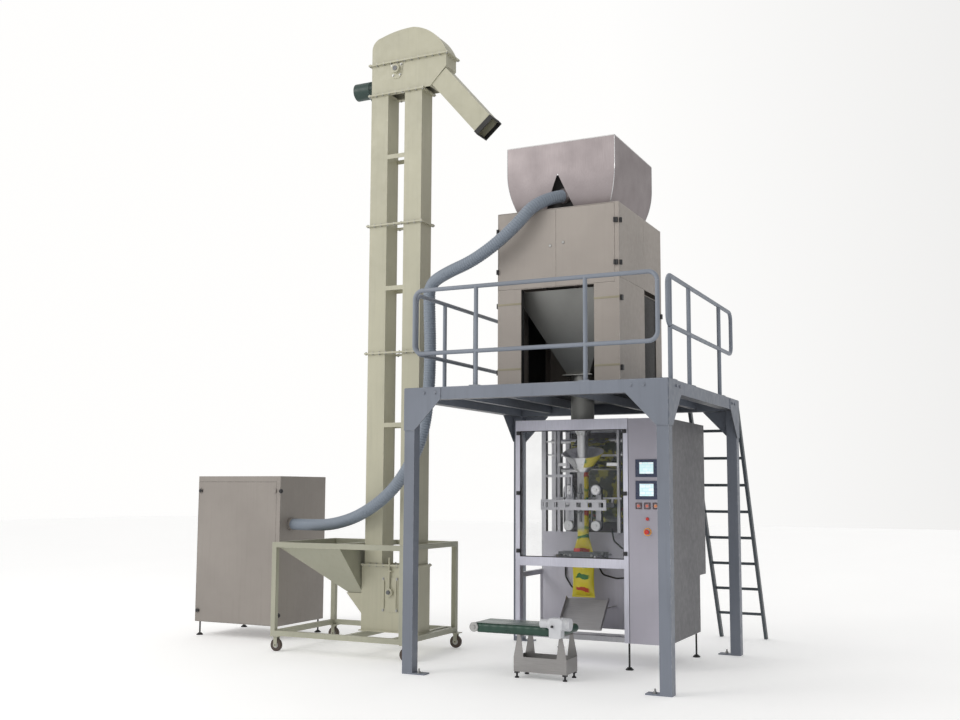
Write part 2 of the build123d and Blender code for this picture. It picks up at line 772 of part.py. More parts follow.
# ---------------------------------------------------------------- bagging machine: frame
frame_front = machine_front + door_depth + panel_gap
post_a = machine_left + post_size / 2
post_b = electrical_left - post_size / 2
post_y0 = frame_front + post_size / 2
post_y1 = machine_low_rear - post_size / 2
post_y2 = machine_rear - post_size / 2
base_mid = machine_base + post_size / 2
frame_pieces = []
for x_post in (post_a, post_b):
    frame_pieces.append(square_tube((x_post, post_y0, machine_base), (x_post, post_y0, machine_top),
                                    post_size, post_size, 3))
    frame_pieces.append(square_tube((x_post, post_y1, machine_base), (x_post, post_y1, machine_step),
                                    post_size, post_size, 3))
    frame_pieces.append(square_tube((x_post, post_y2, machine_step), (x_post, post_y2, machine_top),
                                    post_size, post_size, 3))
    frame_pieces.append(square_tube((x_post, post_y0 + post_size / 2, base_mid),
                                    (x_post, post_y1 - post_size / 2, base_mid), post_size, post_size, 3))
    frame_pieces.append(square_tube((x_post, post_y0 + post_size / 2, machine_top - post_size / 2),
                                    (x_post, post_y2 - post_size / 2, machine_top - post_size / 2),
                                    post_size, post_size, 3))
    frame_pieces.append(square_tube((x_post, post_y0 + post_size / 2, machine_step + post_size / 2),
                                    (x_post, post_y2 - post_size / 2, machine_step + post_size / 2),
                                    post_size, post_size, 3))
post_in_a = post_a + post_size / 2
post_in_b = post_b - post_size / 2
for y_bar, z_bar in ((post_y0, base_mid), (post_y1, base_mid),
                     (post_y0, machine_top - post_size / 2), (post_y2, machine_top - post_size / 2),
                     (post_y2, machine_step + post_size / 2)):
    frame_pieces.append(square_tube((post_in_a, y_bar, z_bar), (post_in_b, y_bar, z_bar),
                                    post_size, post_size, 3))
# upright rails on both sides that carry the film roll's shaft and the rollers' brackets
rail_foot = machine_step + post_size
rail_head = machine_top - post_size
for x_post in (post_a, post_b):
    for y_rail, deep in ((roll_y, post_size), (roll_y - 150, post_size), (roller_rail_y, 60.0)):
        frame_pieces.append(square_tube((x_post, y_rail, rail_foot), (x_post, y_rail, rail_head),
                                        post_size, deep, 3))
# inner posts that carry the belt and jaw units, and the slide rods of the jaws
inner_post_x = (line_x - 307, line_x + 307)
inner_post_y = line_y + 160
for x_post in inner_post_x:
    frame_pieces.append(square_tube((x_post, inner_post_y, wall_top), (x_post, inner_post_y, machine_top - post_size),
                                    30, 30, 2.5))
for x_rod in (line_x - 199, line_x + 199):
    frame_pieces.append(rod((x_rod, line_y - 230, jaw_height), (x_rod, wall_y, jaw_height), 12))
save("machine_frame", frame_pieces)

# ---------------------------------------------------------------- bagging machine: panels
with BuildPart() as top_plate:
    with BuildSketch(Plane.XY.offset(machine_top)):
        with Locations(((machine_left + electrical_left) / 2, (machine_front + machine_rear) / 2)):
            Rectangle(electrical_left - machine_left, machine_rear - machine_front)
        with Locations((line_x, line_y)):
            Circle(pipe_radius + 15, mode=Mode.SUBTRACT)
    extrude(amount=3)
panel_pieces = [
    # inner wall behind the jaws and the bag
    block(machine_left + post_size + panel_gap, electrical_left - post_size - panel_gap,
          wall_y, wall_y + thin, machine_base + post_size, wall_top),
    # top plate with the hole that the discharge pipe feeds through
    top_plate.part,
    # floor tray
    block(post_in_a, post_in_b, post_y0 + post_size / 2, wall_y, machine_base, machine_base + thin),
    # left side: lower rear guard
    block(machine_left, machine_left + thin, wall_y + 40, post_y1 - post_size / 2,
          machine_base + post_size, machine_step),
    # rear cover behind the film roll
    block(post_in_a, post_in_b, machine_rear - thin, machine_rear, machine_step + post_size,
          machine_top - post_size),
]
save("machine_panels", panel_pieces)

# ---------------------------------------------------------------- electrical cabinet
electrical_front = machine_front + 20
cabinet_sheet = 3.0
side_outline = [
    (electrical_front, machine_base),
    (machine_low_rear, machine_base),
    (machine_low_rear, machine_step),
    (machine_rear, machine_step),
    (machine_rear, machine_top),
    (electrical_front, machine_top),
]
inner_left = electrical_left + cabinet_sheet
inner_right = machine_right - cabinet_sheet
electrical_pieces = [
    panel_yz(side_outline, electrical_left, inner_left),
    panel_yz(side_outline, inner_right, machine_right),
    block(inner_left, inner_right, electrical_front, machine_low_rear,
          machine_base, machine_base + cabinet_sheet),
    block(inner_left, inner_right, machine_low_rear - cabinet_sheet, machine_low_rear,
          machine_base + cabinet_sheet, machine_step),
    block(inner_left, inner_right, machine_low_rear - cabinet_sheet, machine_rear,
          machine_step, machine_step + cabinet_sheet),
    block(inner_left, inner_right, machine_rear - cabinet_sheet, machine_rear,
          machine_step + cabinet_sheet, machine_top - cabinet_sheet),
    block(inner_left, inner_right, electrical_front, machine_rear, machine_top - cabinet_sheet, machine_top),
    # mounting plate with drive and contactor modules
    block(inner_left + 15, inner_right - 15, machine_low_rear - 60, machine_low_rear - 57, 330, 2150),
]
module_wide = 70.0
for row_z in (500.0, 900.0, 1300.0, 1700.0):
    for column in range(3):
        x_module = inner_left + 40 + column * (module_wide + 20)
        electrical_pieces.append(block(x_module, x_module + module_wide, machine_low_rear - 200,
                                       machine_low_rear - 60, row_z, row_z + 220))
save("electrical_cabinet", electrical_pieces)

# ---------------------------------------------------------------- cabinet door with its controls
control_x = (electrical_left + machine_right) / 2
control_front = machine_front
control_back = machine_front + 18
screen_width = 212.0
screen_heights = ((1718.0, 1876.0), (1518.0, 1683.0))
button_xs = (control_x - 80, control_x, control_x + 80)
button_z = 1460.0
lamp_z = 1344.0
stop_z = 1229.0
button_radius = 14.0
button_bore = button_radius - 3
button_clear = 0.3
with BuildPart() as cabinet_door:
    add(block(electrical_left + panel_gap, machine_right, control_front, control_back,
              machine_base, machine_top))
    add(block(electrical_left + panel_gap + 16, machine_right - 16, control_front + 3, control_back,
              machine_base + 16, machine_top - 16), mode=Mode.SUBTRACT)
    for low, high in screen_heights:
        add(block(control_x - screen_width / 2 + 10, control_x + screen_width / 2 - 10,
                  control_front - 1, control_front + 4, low + 10, high - 10), mode=Mode.SUBTRACT)
    for x_hole in button_xs:
        add(rod((x_hole, control_front - 1, button_z), (x_hole, control_front + 4, button_z),
                button_bore + button_clear), mode=Mode.SUBTRACT)
    add(rod((control_x, control_front - 1, stop_z), (control_x, control_front + 4, stop_z),
            button_bore + button_clear), mode=Mode.SUBTRACT)
lamp = rod((control_x, control_front, lamp_z), (control_x, control_front - 12, lamp_z), 13)
collars = []
for x_hole, z_hole, radius in [(x, button_z, button_radius + 5) for x in button_xs] + [(control_x, stop_z, 27)]:
    collars.append(rod((x_hole, control_front, z_hole), (x_hole, control_front - 5, z_hole),
                       radius, button_radius + button_clear if radius < 25 else button_bore + button_clear))
save("cabinet_door", [cabinet_door.part, lamp] + collars)

screen_pieces = []
for low, high in screen_heights:
    screen_pieces.append(block(control_x - screen_width / 2, control_x + screen_width / 2,
                               control_front - 9, control_front, low, high))
    screen_pieces.append(block(control_x - screen_width / 2 + 12, control_x + screen_width / 2 - 12,
                               control_front, control_front + 45, low + 12, high - 12))
save("touch_screens", screen_pieces)

button_travel = 4.0
for name, x_button in zip(("button_start", "button_stop", "button_jog"), button_xs):
    with BuildPart() as button:
        add(rod((x_button, control_front - 16, button_z), (x_button, control_front - 5, button_z), button_radius))
        add(rod((x_button, control_front - 5, button_z), (x_button, control_front + 30, button_z), button_bore))
        fillet(button.faces().sort_by(Axis.Y)[0].edges(), 2)
    save(name, [button.part])
with BuildPart() as emergency_stop:
    add(rod((control_x, control_front - 40, stop_z), (control_x, control_front - 26, stop_z), 21))
    add(rod((control_x, control_front - 26, stop_z), (control_x, control_front + 30, stop_z), button_bore))
    fillet(emergency_stop.faces().sort_by(Axis.Y)[0].edges(), 5)
save("emergency_stop", [emergency_stop.part])

# ---------------------------------------------------------------- glazed front door
frame_left = machine_left
frame_right = electrical_left - panel_gap
door_back_y = machine_front + door_depth
stile_foot = 60.0
glass_inset = 4.0
frame_door = [
    block(frame_left, frame_left + stile_width, machine_front, door_back_y, machine_base, machine_top),
    block(frame_right - stile_width, frame_right, machine_front, door_back_y, machine_base, machine_top),
    block(frame_left + stile_width, frame_right - stile_width, machine_front, door_back_y,
          machine_top - 95, machine_top),
    block(frame_left + stile_width, frame_right - stile_width, machine_front, door_back_y,
          crossbar_low, crossbar_high),
]
knob_half = 17.0
for z_knob in (2134.0, 1569.0, 1030.0):
    for x_knob in (frame_left + 30, frame_right - 30):
        frame_door.append(block(x_knob - knob_half, x_knob + knob_half, machine_front - 12, machine_front,
                                z_knob - knob_half, z_knob + knob_half))
save("door_frame", frame_door)
save("door_window", [block(frame_left + stile_width, frame_right - stile_width, machine_front + 12,
                           machine_front + 12 + glass_thickness, crossbar_high, machine_top - 95)])

# ---------------------------------------------------------------- forming tube and collar
with BuildPart() as forming_tube:
    add(rod((line_x, line_y, tube_bottom), (line_x, line_y, tube_top), tube_radius))
    with BuildSketch(Plane.XY.offset(tube_top)):
        with Locations((line_x, line_y)):
            Circle(tube_radius)
    with BuildSketch(Plane.XY.offset(machine_top - 14)):
        with Locations((line_x, line_y)):
            Circle(pipe_radius + 8)
    loft()
    add(rod((line_x, line_y, tube_bottom - 1), (line_x, line_y, tube_top + 1), tube_radius - thin),
        mode=Mode.SUBTRACT)
    with BuildSketch(Plane.XY.offset(tube_top)):
        with Locations((line_x, line_y)):
            Circle(tube_radius - thin)
    with BuildSketch(Plane.XY.offset(machine_top - 13)):
        with Locations((line_x, line_y)):
            Circle(pipe_radius + 8 - thin)
    loft(mode=Mode.SUBTRACT)
save("forming_tube", [forming_tube.part])

film_radius = tube_radius + film_gap
collar_bore = film_radius + film_sheet + 3
collar_rise = 190.0
with BuildPart() as forming_collar:
    for shrink, mode in ((0.0, Mode.ADD), (2.5, Mode.SUBTRACT)):
        with BuildPart(mode=Mode.PRIVATE) as wing:
            with BuildSketch(Plane(origin=(line_x, line_y, collar_height - (1 if shrink else 0)),
                                   z_dir=(0, 0, 1))):
                Circle(collar_bore + 2.5 - shrink)
            with BuildSketch(Plane(origin=(line_x, line_y + 20, collar_height + collar_rise + (1 if shrink else 0)),
                                   x_dir=(1, 0, 0), z_dir=(0, -0.5, 0.866))):
                Ellipse(205 - shrink, 120 - shrink)
            loft()
        add(wing.part, mode=mode)
collar_carrier = [
    block(line_x - 330, line_x - 205, line_y + 100, line_y + 112, collar_height + 60, collar_height + 90),
    block(line_x + 205, line_x + 330, line_y + 100, line_y + 112, collar_height + 60, collar_height + 90),
]
save("forming_collar", [forming_collar.part] + collar_carrier)

# ---------------------------------------------------------------- film roll, rollers and web
roll_core = 38.0
shaft_radius = 20.0
roll_axis = [(line_x - roll_width / 2, roll_y, roll_z), (line_x + roll_width / 2, roll_y, roll_z)]
with BuildPart() as film_roll:
    add(rod(roll_axis[0], roll_axis[1], roll_radius))
    add(rod((roll_axis[0][0] - 1, roll_y, roll_z), (roll_axis[1][0] + 1, roll_y, roll_z),
            shaft_radius + 0.2), mode=Mode.SUBTRACT)
save("film_roll", [film_roll.part])
roller_radius = 22.0
roller_places = ((roll_y - 150, 1800.0), (line_y + 330, 1950.0), (line_y + 300, 2080.0))
roller_pieces = [rod((post_in_a, roll_y, roll_z), (post_in_b, roll_y, roll_z), shaft_radius)]
for y_roller, z_roller in roller_places:
    roller_pieces.append(rod((post_in_a + 60, y_roller, z_roller), (post_in_b - 60, y_roller, z_roller),
                             roller_radius))
    for x0, x1 in ((post_in_a, post_in_a + 60), (post_in_b - 60, post_in_b)):
        roller_pieces.append(block(x0, x1, y_roller - 8, y_roller + 8, z_roller - 8, z_roller + 8))
save("film_rollers", roller_pieces)


def web_strip(y0, z0, y1, z1, wide=roll_width - 20):
    """Flat stretch of film between two tangent points."""
    run = Vector(0, y1 - y0, z1 - z0)
    with BuildPart() as strip:
        with BuildSketch(Plane(origin=(line_x, y0, z0), x_dir=(1, 0, 0), z_dir=run)):
            Rectangle(wide, film_sheet)
        extrude(amount=run.length)
    return strip.part


lift = roller_radius + 1
web_pieces = [
    web_strip(roll_y - roll_radius - 2, roll_z, roller_places[0][0] - lift, roller_places[0][1]),
    web_strip(roller_places[0][0] - 10, roller_places[0][1] + lift,
              roller_places[1][0] + lift + 4, roller_places[1][1] - 6),
    web_strip(roller_places[1][0] - lift, roller_places[1][1], roller_places[2][0] - lift,
              roller_places[2][1] - 4),
    web_strip(roller_places[2][0] - 8, roller_places[2][1] + lift, line_y + 135, collar_height + 255, 330),
    rod((line_x, line_y, tube_bottom - 60), (line_x, line_y, collar_height - 2),
        film_radius + film_sheet, film_radius),
]
with BuildPart() as film_neck:
    with BuildSketch(Plane.XY.offset(tube_bottom - 60)):
        with Locations((line_x, line_y)):
            Circle(film_radius + film_sheet)
    with BuildSketch(Plane.XY.offset(jaw_height + jaw_tall / 2)):
        with Locations((line_x, line_y)):
            Rectangle(bag_width * 0.86, 2 * (jaw_gap - 0.4))
    loft(ruled=True)
film_seal = block(line_x - bag_width * 0.43, line_x + bag_width * 0.43, line_y - jaw_gap + 0.4,
                  line_y + jaw_gap - 0.4, bag_top, jaw_height + jaw_tall / 2)
web_pieces += [film_neck.part, film_seal]
save("film_web", web_pieces)

with BuildPart() as filled_bag:
    for z_level, wide, thick in ((bag_bottom, bag_width, 4), (bag_bottom + 70, bag_width * 0.93, bag_thickness),
                                 (bag_top - 110, bag_width * 0.9, bag_thickness * 0.8), (bag_top, bag_width, 4)):
        with BuildSketch(Plane.XY.offset(z_level)):
            with Locations((line_x, line_y)):
                Ellipse(wide / 2, thick / 2)
    loft()
save("filled_bag", [filled_bag.part])

# ---------------------------------------------------------------- pull-down belts and vertical sealer
carrier_y = line_y - 125
bar_low, bar_high = 1410.0, 1510.0
with BuildPart() as carrier_bar:
    add(block(line_x - 380, line_x + 280, carrier_y - 12, carrier_y, bar_low, bar_high))
    for index in range(6):
        x_hole = line_x - 330 + index * 112
        add(block(x_hole - 22, x_hole + 22, carrier_y - 13, carrier_y + 1, bar_low + 28, bar_high - 28),
            mode=Mode.SUBTRACT)
carrier_pieces = [carrier_bar.part]
rod_xs = (line_x - 313, line_x + 335)
hang_y = line_y + 80
for x_rod in rod_xs:
    carrier_pieces.append(rod((x_rod, hang_y, 1530), (x_rod, hang_y, machine_top - 20), 11))
carrier_pieces.append(block(line_x - 340, line_x + 362, hang_y - 14, hang_y + 14, 1514, 1530))
carrier_pieces.append(block(line_x - 340, line_x - 326, hang_y + 14, inner_post_y - 15, 1514, 1530))
carrier_pieces.append(block(line_x + 348, line_x + 362, hang_y + 14, inner_post_y - 15, 1514, 1530))
for x_arm in (line_x - 340, line_x + 262):
    carrier_pieces.append(block(x_arm, x_arm + 14, carrier_y, hang_y - 14, 1440, 1480))
    carrier_pieces.append(block(x_arm, x_arm + 14, hang_y - 14, hang_y + 14, 1440, 1514))
for x_pin in (line_x - 130, line_x - 70):
    carrier_pieces.append(rod((x_pin, carrier_y + 8, 1530), (x_pin, carrier_y + 8, 1720), 10))
carrier_pieces.append(block(line_x - 340, line_x - 60, carrier_y, carrier_y + 20, 1720, 1745))
save("belt_carrier", carrier_pieces)


def belt_unit(side):
    """Vertical pull-down belt on two pulleys, with its carrier plate behind."""
    x_mid = line_x + side * disc_x
    y0, y1 = line_y - 20, line_y + 20
    with BuildPart() as belt:
        with BuildSketch(Plane(origin=(x_mid, y1, (belt_low + belt_high) / 2), x_dir=(1, 0, 0),
                               z_dir=(0, -1, 0))):
            SlotCenterToCenter(belt_high - belt_low, 2 * (disc_radius + 5), rotation=90)
            SlotCenterToCenter(belt_high - belt_low, 2 * disc_radius, rotation=90, mode=Mode.SUBTRACT)
        extrude(amount=y1 - y0)
    pieces = [belt.part]
    for z_pulley in (belt_low, belt_high):
        pieces.append(rod((x_mid, y0 - 12, z_pulley), (x_mid, y1, z_pulley), disc_radius))
        pieces.append(rod((x_mid, y1, z_pulley), (x_mid, y1 + 34, z_pulley), 12))
    pieces.append(block(x_mid - 30, x_mid + 30, y1 + 34, y1 + 44, belt_low - 30, belt_high + 30))
    return pieces


save("belt_unit_left", belt_unit(-1))
save("belt_unit_right", belt_unit(1))
sealer_y = line_y - film_radius - film_sheet - 6
with BuildPart() as vertical_sealer:
    add(block(line_x - 9, line_x + 9, sealer_y - 16, sealer_y, 1300, 1660))
    add(block(line_x - 26, line_x + 26, sealer_y - 34, sealer_y - 16, 1380, 1400))
    add(block(line_x - 26, line_x + 26, sealer_y - 34, sealer_y - 16, 1560, 1580))
save("vertical_sealer", [vertical_sealer.part])


# ---------------------------------------------------------------- sealing jaws
def jaw(side):
    """Cross sealing bar on a carriage that slides on the two rods."""
    face = line_y + side * jaw_gap
    back = face + side * jaw_deep
    plate = back + side * 24
    with BuildPart() as bar:
        add(block(line_x - jaw_width / 2, line_x + jaw_width / 2, min(face, back), max(face, back),
                  jaw_height - jaw_tall / 2, jaw_height + jaw_tall / 2))
        add(block(1380, 1834, min(back, plate), max(back, plate), jaw_height - 34, jaw_height + 34))
        for x_rod in (line_x - 199, line_x + 199):
            add(rod((x_rod, line_y - 300, jaw_height), (x_rod, line_y + 300, jaw_height), 12.05),
                mode=Mode.SUBTRACT)
        if side < 0:
            add(block(line_x - jaw_width / 2 + 6, line_x + jaw_width / 2 - 6, min(face, back) - 1,
                      max(face, back) + 1, jaw_height - 4, jaw_height + 4), mode=Mode.SUBTRACT)
            add(block(line_x - jaw_width / 2, line_x + jaw_width / 2, min(back, back + 12), max(back, back + 12),
                      jaw_height - 4, jaw_height + 4))
    return bar.part


save("jaw_front", [jaw(-1)])
save("jaw_rear", [jaw(1)])

# ---------------------------------------------------------------- bag chute
chute_left, chute_right = 1480.0, 1895.0
chute_high_y, chute_high_z = -560.0, 585.0
chute_low_y, chute_low_z = -792.0, 330.0
chute_slope = atan2(chute_high_z - chute_low_z, chute_high_y - chute_low_y)
chute_nx = -sin(chute_slope) * thin
chute_nz = cos(chute_slope) * thin
chute_plate = panel_yz([(chute_high_y, chute_high_z), (chute_low_y, chute_low_z),
                        (chute_low_y + chute_nx, chute_low_z + chute_nz),
                        (chute_high_y + chute_nx, chute_high_z + chute_nz)], chute_left, chute_right)
chute_pieces = [chute_plate]
for x_side in (chute_left - thin, chute_right):
    chute_pieces.append(panel_yz([(chute_high_y, chute_high_z), (chute_low_y, chute_low_z),
                                  (chute_low_y - 40 * sin(chute_slope), chute_low_z + 40 * cos(chute_slope)),
                                  (chute_high_y - 40 * sin(chute_slope), chute_high_z + 40 * cos(chute_slope))],
                                 x_side, x_side + thin))
for x_leg in (chute_left + 30, chute_right - 60):
    chute_pieces.append(block(x_leg, x_leg + 30, chute_high_y + 8, wall_y, 500, 506))
    chute_pieces.append(panel_yz([(chute_high_y + 2, chute_high_z - 2), (chute_high_y + 8, chute_high_z - 2),
                                  (chute_high_y + 8, 500), (chute_high_y + 2, 500)], x_leg, x_leg + 30))
save("bag_chute", chute_pieces)

# ---------------------------------------------------------------- cables held inside the machine
cable_radius = 8.0


def cable(points, radii):
    """Sheathed cable along straight runs and tangent arcs."""
    with BuildPart() as run:
        with BuildLine():
            path = FilletPolyline(*points, radius=radii)
        with BuildSketch(Plane(origin=path @ 0, z_dir=path % 0)):
            Circle(cable_radius)
        sweep()
    return run.part


cable_pieces = [
    cable([(1350, wall_y - 14, 930), (1352, wall_y - 16, 760), (1440, wall_y - 60, 660), (1540, wall_y - 30, 640),
           (1600, wall_y - cable_radius, 640)][:4], [60, 70]),
    cable([(1850, line_y + 120, 1240), (1880, line_y + 100, 1120), (1980, line_y + 60, 1050),
           (2128, line_y + 40, 1035)], [60, 80]),
    cable([(1700, line_y + 130, 900), (1760, line_y + 120, 800), (1900, line_y + 100, 770),
           (2128, line_y + 90, 790)], [60, 90]),
]
save("machine_cables", cable_pieces)

# ---------------------------------------------------------------- bag take-off conveyor
bed_low = belt_top - 2 * (belt_roller + belt_sheet)
roller_z = belt_top - belt_roller - belt_sheet
cheek = 6.0
tray_low, tray_high = 55.0, 180.0
stand_pieces = [
    block(stand_left, stand_right, stand_front, stand_front + sheet, tray_low, tray_high),
    block(stand_left, stand_right, stand_rear - sheet, stand_rear, tray_low, tray_high),
    block(stand_left, stand_left + sheet, stand_front + sheet, stand_rear - sheet, tray_low, tray_high),
    block(stand_right - sheet, stand_right, stand_front + sheet, stand_rear - sheet, tray_low, tray_high),
]
taper = 40.0
for x0, x1, lean in ((stand_left, stand_left + 90, 1), (stand_right - 90, stand_right, -1)):
    slim0 = x0 + (taper if lean > 0 else 25)
    slim1 = x1 - (25 if lean > 0 else taper)
    for y0 in (stand_front, stand_rear - sheet):
        stand_pieces.append(panel_xz([(x0, tray_high), (x1, tray_high), (slim1, bed_low), (slim0, bed_low)],
                                     y0, y0 + sheet))
# slider bed between the rollers, and the cheeks that hold the roller shafts
stand_pieces.append(block(belt_left_x + 60, belt_right_x - 60, belt_front + 20, belt_rear - 20,
                          bed_low + belt_sheet + 1, belt_top - belt_sheet - 0.5))
for y0 in (belt_front - cheek - 2, belt_rear + 2):
    with BuildPart() as cheek_plate:
        add(block(belt_left_x - 12, belt_right_x + 12, y0, y0 + cheek, roller_z - 22, roller_z + 22))
        for x_hole in (belt_left_x, belt_right_x):
            add(rod((x_hole, y0 - 1, roller_z), (x_hole, y0 + cheek + 1, roller_z), 10.05), mode=Mode.SUBTRACT)
    stand_pieces.append(cheek_plate.part)
# cross bearers under the belt join the cheeks to the stand's uprights
for x_bar in (stand_left + 60, stand_right - 90):
    stand_pieces.append(block(x_bar, x_bar + 30, belt_front - 2, belt_rear + 2, bed_low - 22, bed_low - 2))
    for y0 in (belt_front - cheek - 2, belt_rear + 2):
        stand_pieces.append(block(x_bar, x_bar + 30, y0, y0 + cheek, bed_low - 22, roller_z - 22))
save("conveyor_stand", stand_pieces)

with BuildPart() as conveyor_belt:
    with BuildSketch(Plane(origin=((belt_left_x + belt_right_x) / 2, belt_rear, roller_z), x_dir=(1, 0, 0),
                           z_dir=(0, -1, 0))):
        SlotCenterToCenter(belt_right_x - belt_left_x, 2 * (belt_roller + belt_sheet))
        SlotCenterToCenter(belt_right_x - belt_left_x, 2 * (belt_roller + running_gap), mode=Mode.SUBTRACT)
    extrude(amount=belt_rear - belt_front)
save("conveyor_belt", [conveyor_belt.part])
for name, x_roller in (("tail_roller", belt_left_x), ("drive_roller", belt_right_x)):
    with BuildPart() as roller:
        add(rod((x_roller, belt_front + 4, roller_z), (x_roller, belt_rear - 4, roller_z), belt_roller))
        add(rod((x_roller, belt_front - cheek - 2, roller_z), (x_roller, belt_rear + cheek + 2, roller_z), 10))
    save(name, [roller.part])

motor_x = belt_right_x
motor_y = belt_front - cheek - 2
motor_z = 486.0
gear_deep = 90.0
gear_y = motor_y - gear_deep / 2
with BuildPart() as gear_case:
    add(block(motor_x - 60, motor_x + 45, motor_y - gear_deep, motor_y - 4, roller_z - 45, motor_z + 50))
    fillet(gear_case.edges().filter_by(Axis.Y), 12)
motor_pieces = [
    gear_case.part,
    rod((motor_x, motor_y - 4, roller_z), (motor_x, motor_y, roller_z), 34, 12),
    rod((motor_x - 60, gear_y, motor_z), (motor_x - 78, gear_y, motor_z), 44),
    rod((motor_x - 78, gear_y, motor_z), (motor_x - 150, gear_y, motor_z), 36),
    rod((motor_x + 45, gear_y, motor_z), (motor_x + 60, gear_y, motor_z), 56),
    rod((motor_x + 60, gear_y, motor_z), (motor_x + 118, gear_y, motor_z), 50),
]
save("conveyor_motor", motor_pieces)

# ---------------------------------------------------------------- bucket elevator casing and boot
leg_centres = (elevator_left + leg_width / 2, elevator_right - leg_width / 2)


def splice_flange(z0):
    """Flange round both legs, open down each leg and between them."""
    with BuildPart() as flange:
        with BuildSketch(Plane.XY.offset(z0)):
            with Locations((elevator_x, elevator_y)):
                Rectangle(elevator_right - elevator_left + 2 * flange_rim, leg_depth + 2 * flange_rim)
            for x_leg in leg_centres:
                with Locations((x_leg, elevator_y)):
                    Rectangle(leg_width - 2 * leg_sheet, leg_depth - 2 * leg_sheet, mode=Mode.SUBTRACT)
            with Locations((elevator_x, elevator_y)):
                Rectangle(leg_gap - 2 * leg_sheet, leg_depth - 2 * flange_rim, mode=Mode.SUBTRACT)
        extrude(amount=flange_sheet)
    return flange.part


casing_pieces = []
section_ends = [boot_top] + list(splice_heights) + [head_base]
for low, high in zip(section_ends[:-1], section_ends[1:]):
    for x_leg in leg_centres:
        casing_pieces.append(square_tube((x_leg, elevator_y, low + flange_sheet), (x_leg, elevator_y, high),
                                         leg_width, leg_depth, leg_sheet))
for z_flange in section_ends:
    casing_pieces.append(splice_flange(z_flange))
gap_x0 = elevator_left + leg_width
gap_x1 = elevator_right - leg_width
for z_brace in (2240.0, 3630.0, 5000.0):
    for y0 in (elevator_front, elevator_rear - 8):
        casing_pieces.append(block(gap_x0, gap_x1, y0, y0 + 8, z_brace - 22, z_brace + 22))

# boot: open-topped box with a feed lip on its left, on a base plate
boot_side = 30.0
boot_x0 = elevator_left - boot_side
boot_x1 = elevator_right + 20
boot_y0 = elevator_front - 5
boot_y1 = elevator_rear + 5
boot_sheet = 5.0
lip_reach = 190.0
lip_high, lip_low = 568.0, 359.0
with BuildPart() as boot:
    add(block(boot_x0, boot_x1, boot_y0, boot_y1, elevator_foot + 10, boot_top))
    add(panel_xz([(boot_x0, lip_low), (boot_x0 - lip_reach, lip_high), (boot_x0, lip_high)],
                 elevator_y - 95, elevator_y + 95))
    add(block(boot_x0 + boot_sheet, boot_x1 - boot_sheet, boot_y0 + boot_sheet, boot_y1 - boot_sheet,
              elevator_foot + 10 + boot_sheet, boot_top), mode=Mode.SUBTRACT)
    add(panel_xz([(boot_x0 + boot_sheet, lip_low + 6), (boot_x0 - lip_reach + 18, lip_high),
                  (boot_x0 + boot_sheet, lip_high)], elevator_y - 90, elevator_y + 90), mode=Mode.SUBTRACT)
    for y_wall in (boot_y0, boot_y1 - boot_sheet):
        add(rod((elevator_x, y_wall - 1, boot_pulley_z), (elevator_x, y_wall + boot_sheet + 1, boot_pulley_z),
                20.05), mode=Mode.SUBTRACT)
casing_pieces.append(boot.part)
casing_pieces.append(block(boot_x0 - 20, boot_x1 + 20, boot_y0 - 20, boot_y1 + 20,
                           elevator_foot, elevator_foot + 10))
# belt tensioner on the boot's front: plate, bearing housing and screw
plate_x0, plate_x1 = elevator_x - 85, elevator_x + 91
plate_z0, plate_z1 = 404.0, 736.0
with BuildPart() as tension_plate:
    add(block(plate_x0, plate_x1, boot_y0 - 6, boot_y0, plate_z0, plate_z1))
    add(rod((elevator_x, boot_y0 - 7, boot_pulley_z), (elevator_x, boot_y0 + 1, boot_pulley_z), 20.05),
        mode=Mode.SUBTRACT)
casing_pieces.append(tension_plate.part)
casing_pieces.append(rod((elevator_x, boot_y0 - 34, boot_pulley_z), (elevator_x, boot_y0 - 6, boot_pulley_z),
                         40, 20.05))
casing_pieces.append(rod((elevator_x, boot_y0 - 20, boot_pulley_z + 41), (elevator_x, boot_y0 - 20, 930), 9))
with BuildPart() as screw_nut:
    add(block(elevator_x - 30, elevator_x + 30, boot_y0 - 34, boot_y0 - 6, 790, 806))
    add(rod((elevator_x, boot_y0 - 20, 780), (elevator_x, boot_y0 - 20, 816), 9.2), mode=Mode.SUBTRACT)
casing_pieces.append(screw_nut.part)
for x_guide in (plate_x0 + 14, plate_x1 - 26):
    casing_pieces.append(block(x_guide, x_guide + 12, boot_y0 - 18, boot_y0 - 6, plate_z0 + 30, plate_z1 - 30))
save("elevator_casing", casing_pieces)

# ---------------------------------------------------------------- elevator head
head_x0 = elevator_left
head_x1 = elevator_right + 275
head_y0 = elevator_front
head_y1 = elevator_rear
head_sheet = 4.0


def head_body(inset, open_low, open_high):
    """Lower head box: straight on the left, sloped out to the spout on the right."""
    z0 = head_base + flange_sheet - open_low
    z1 = head_split + open_high
    outline = [
        (head_x0 + inset, z0),
        (elevator_right + 90 - inset, z0),
        (head_x1 - inset, z0 + 188 + open_low),
        (head_x1 - inset, z1),
        (head_x0 + inset, z1),
    ]
    return panel_xz(outline, head_y0 + inset, head_y1 - inset)


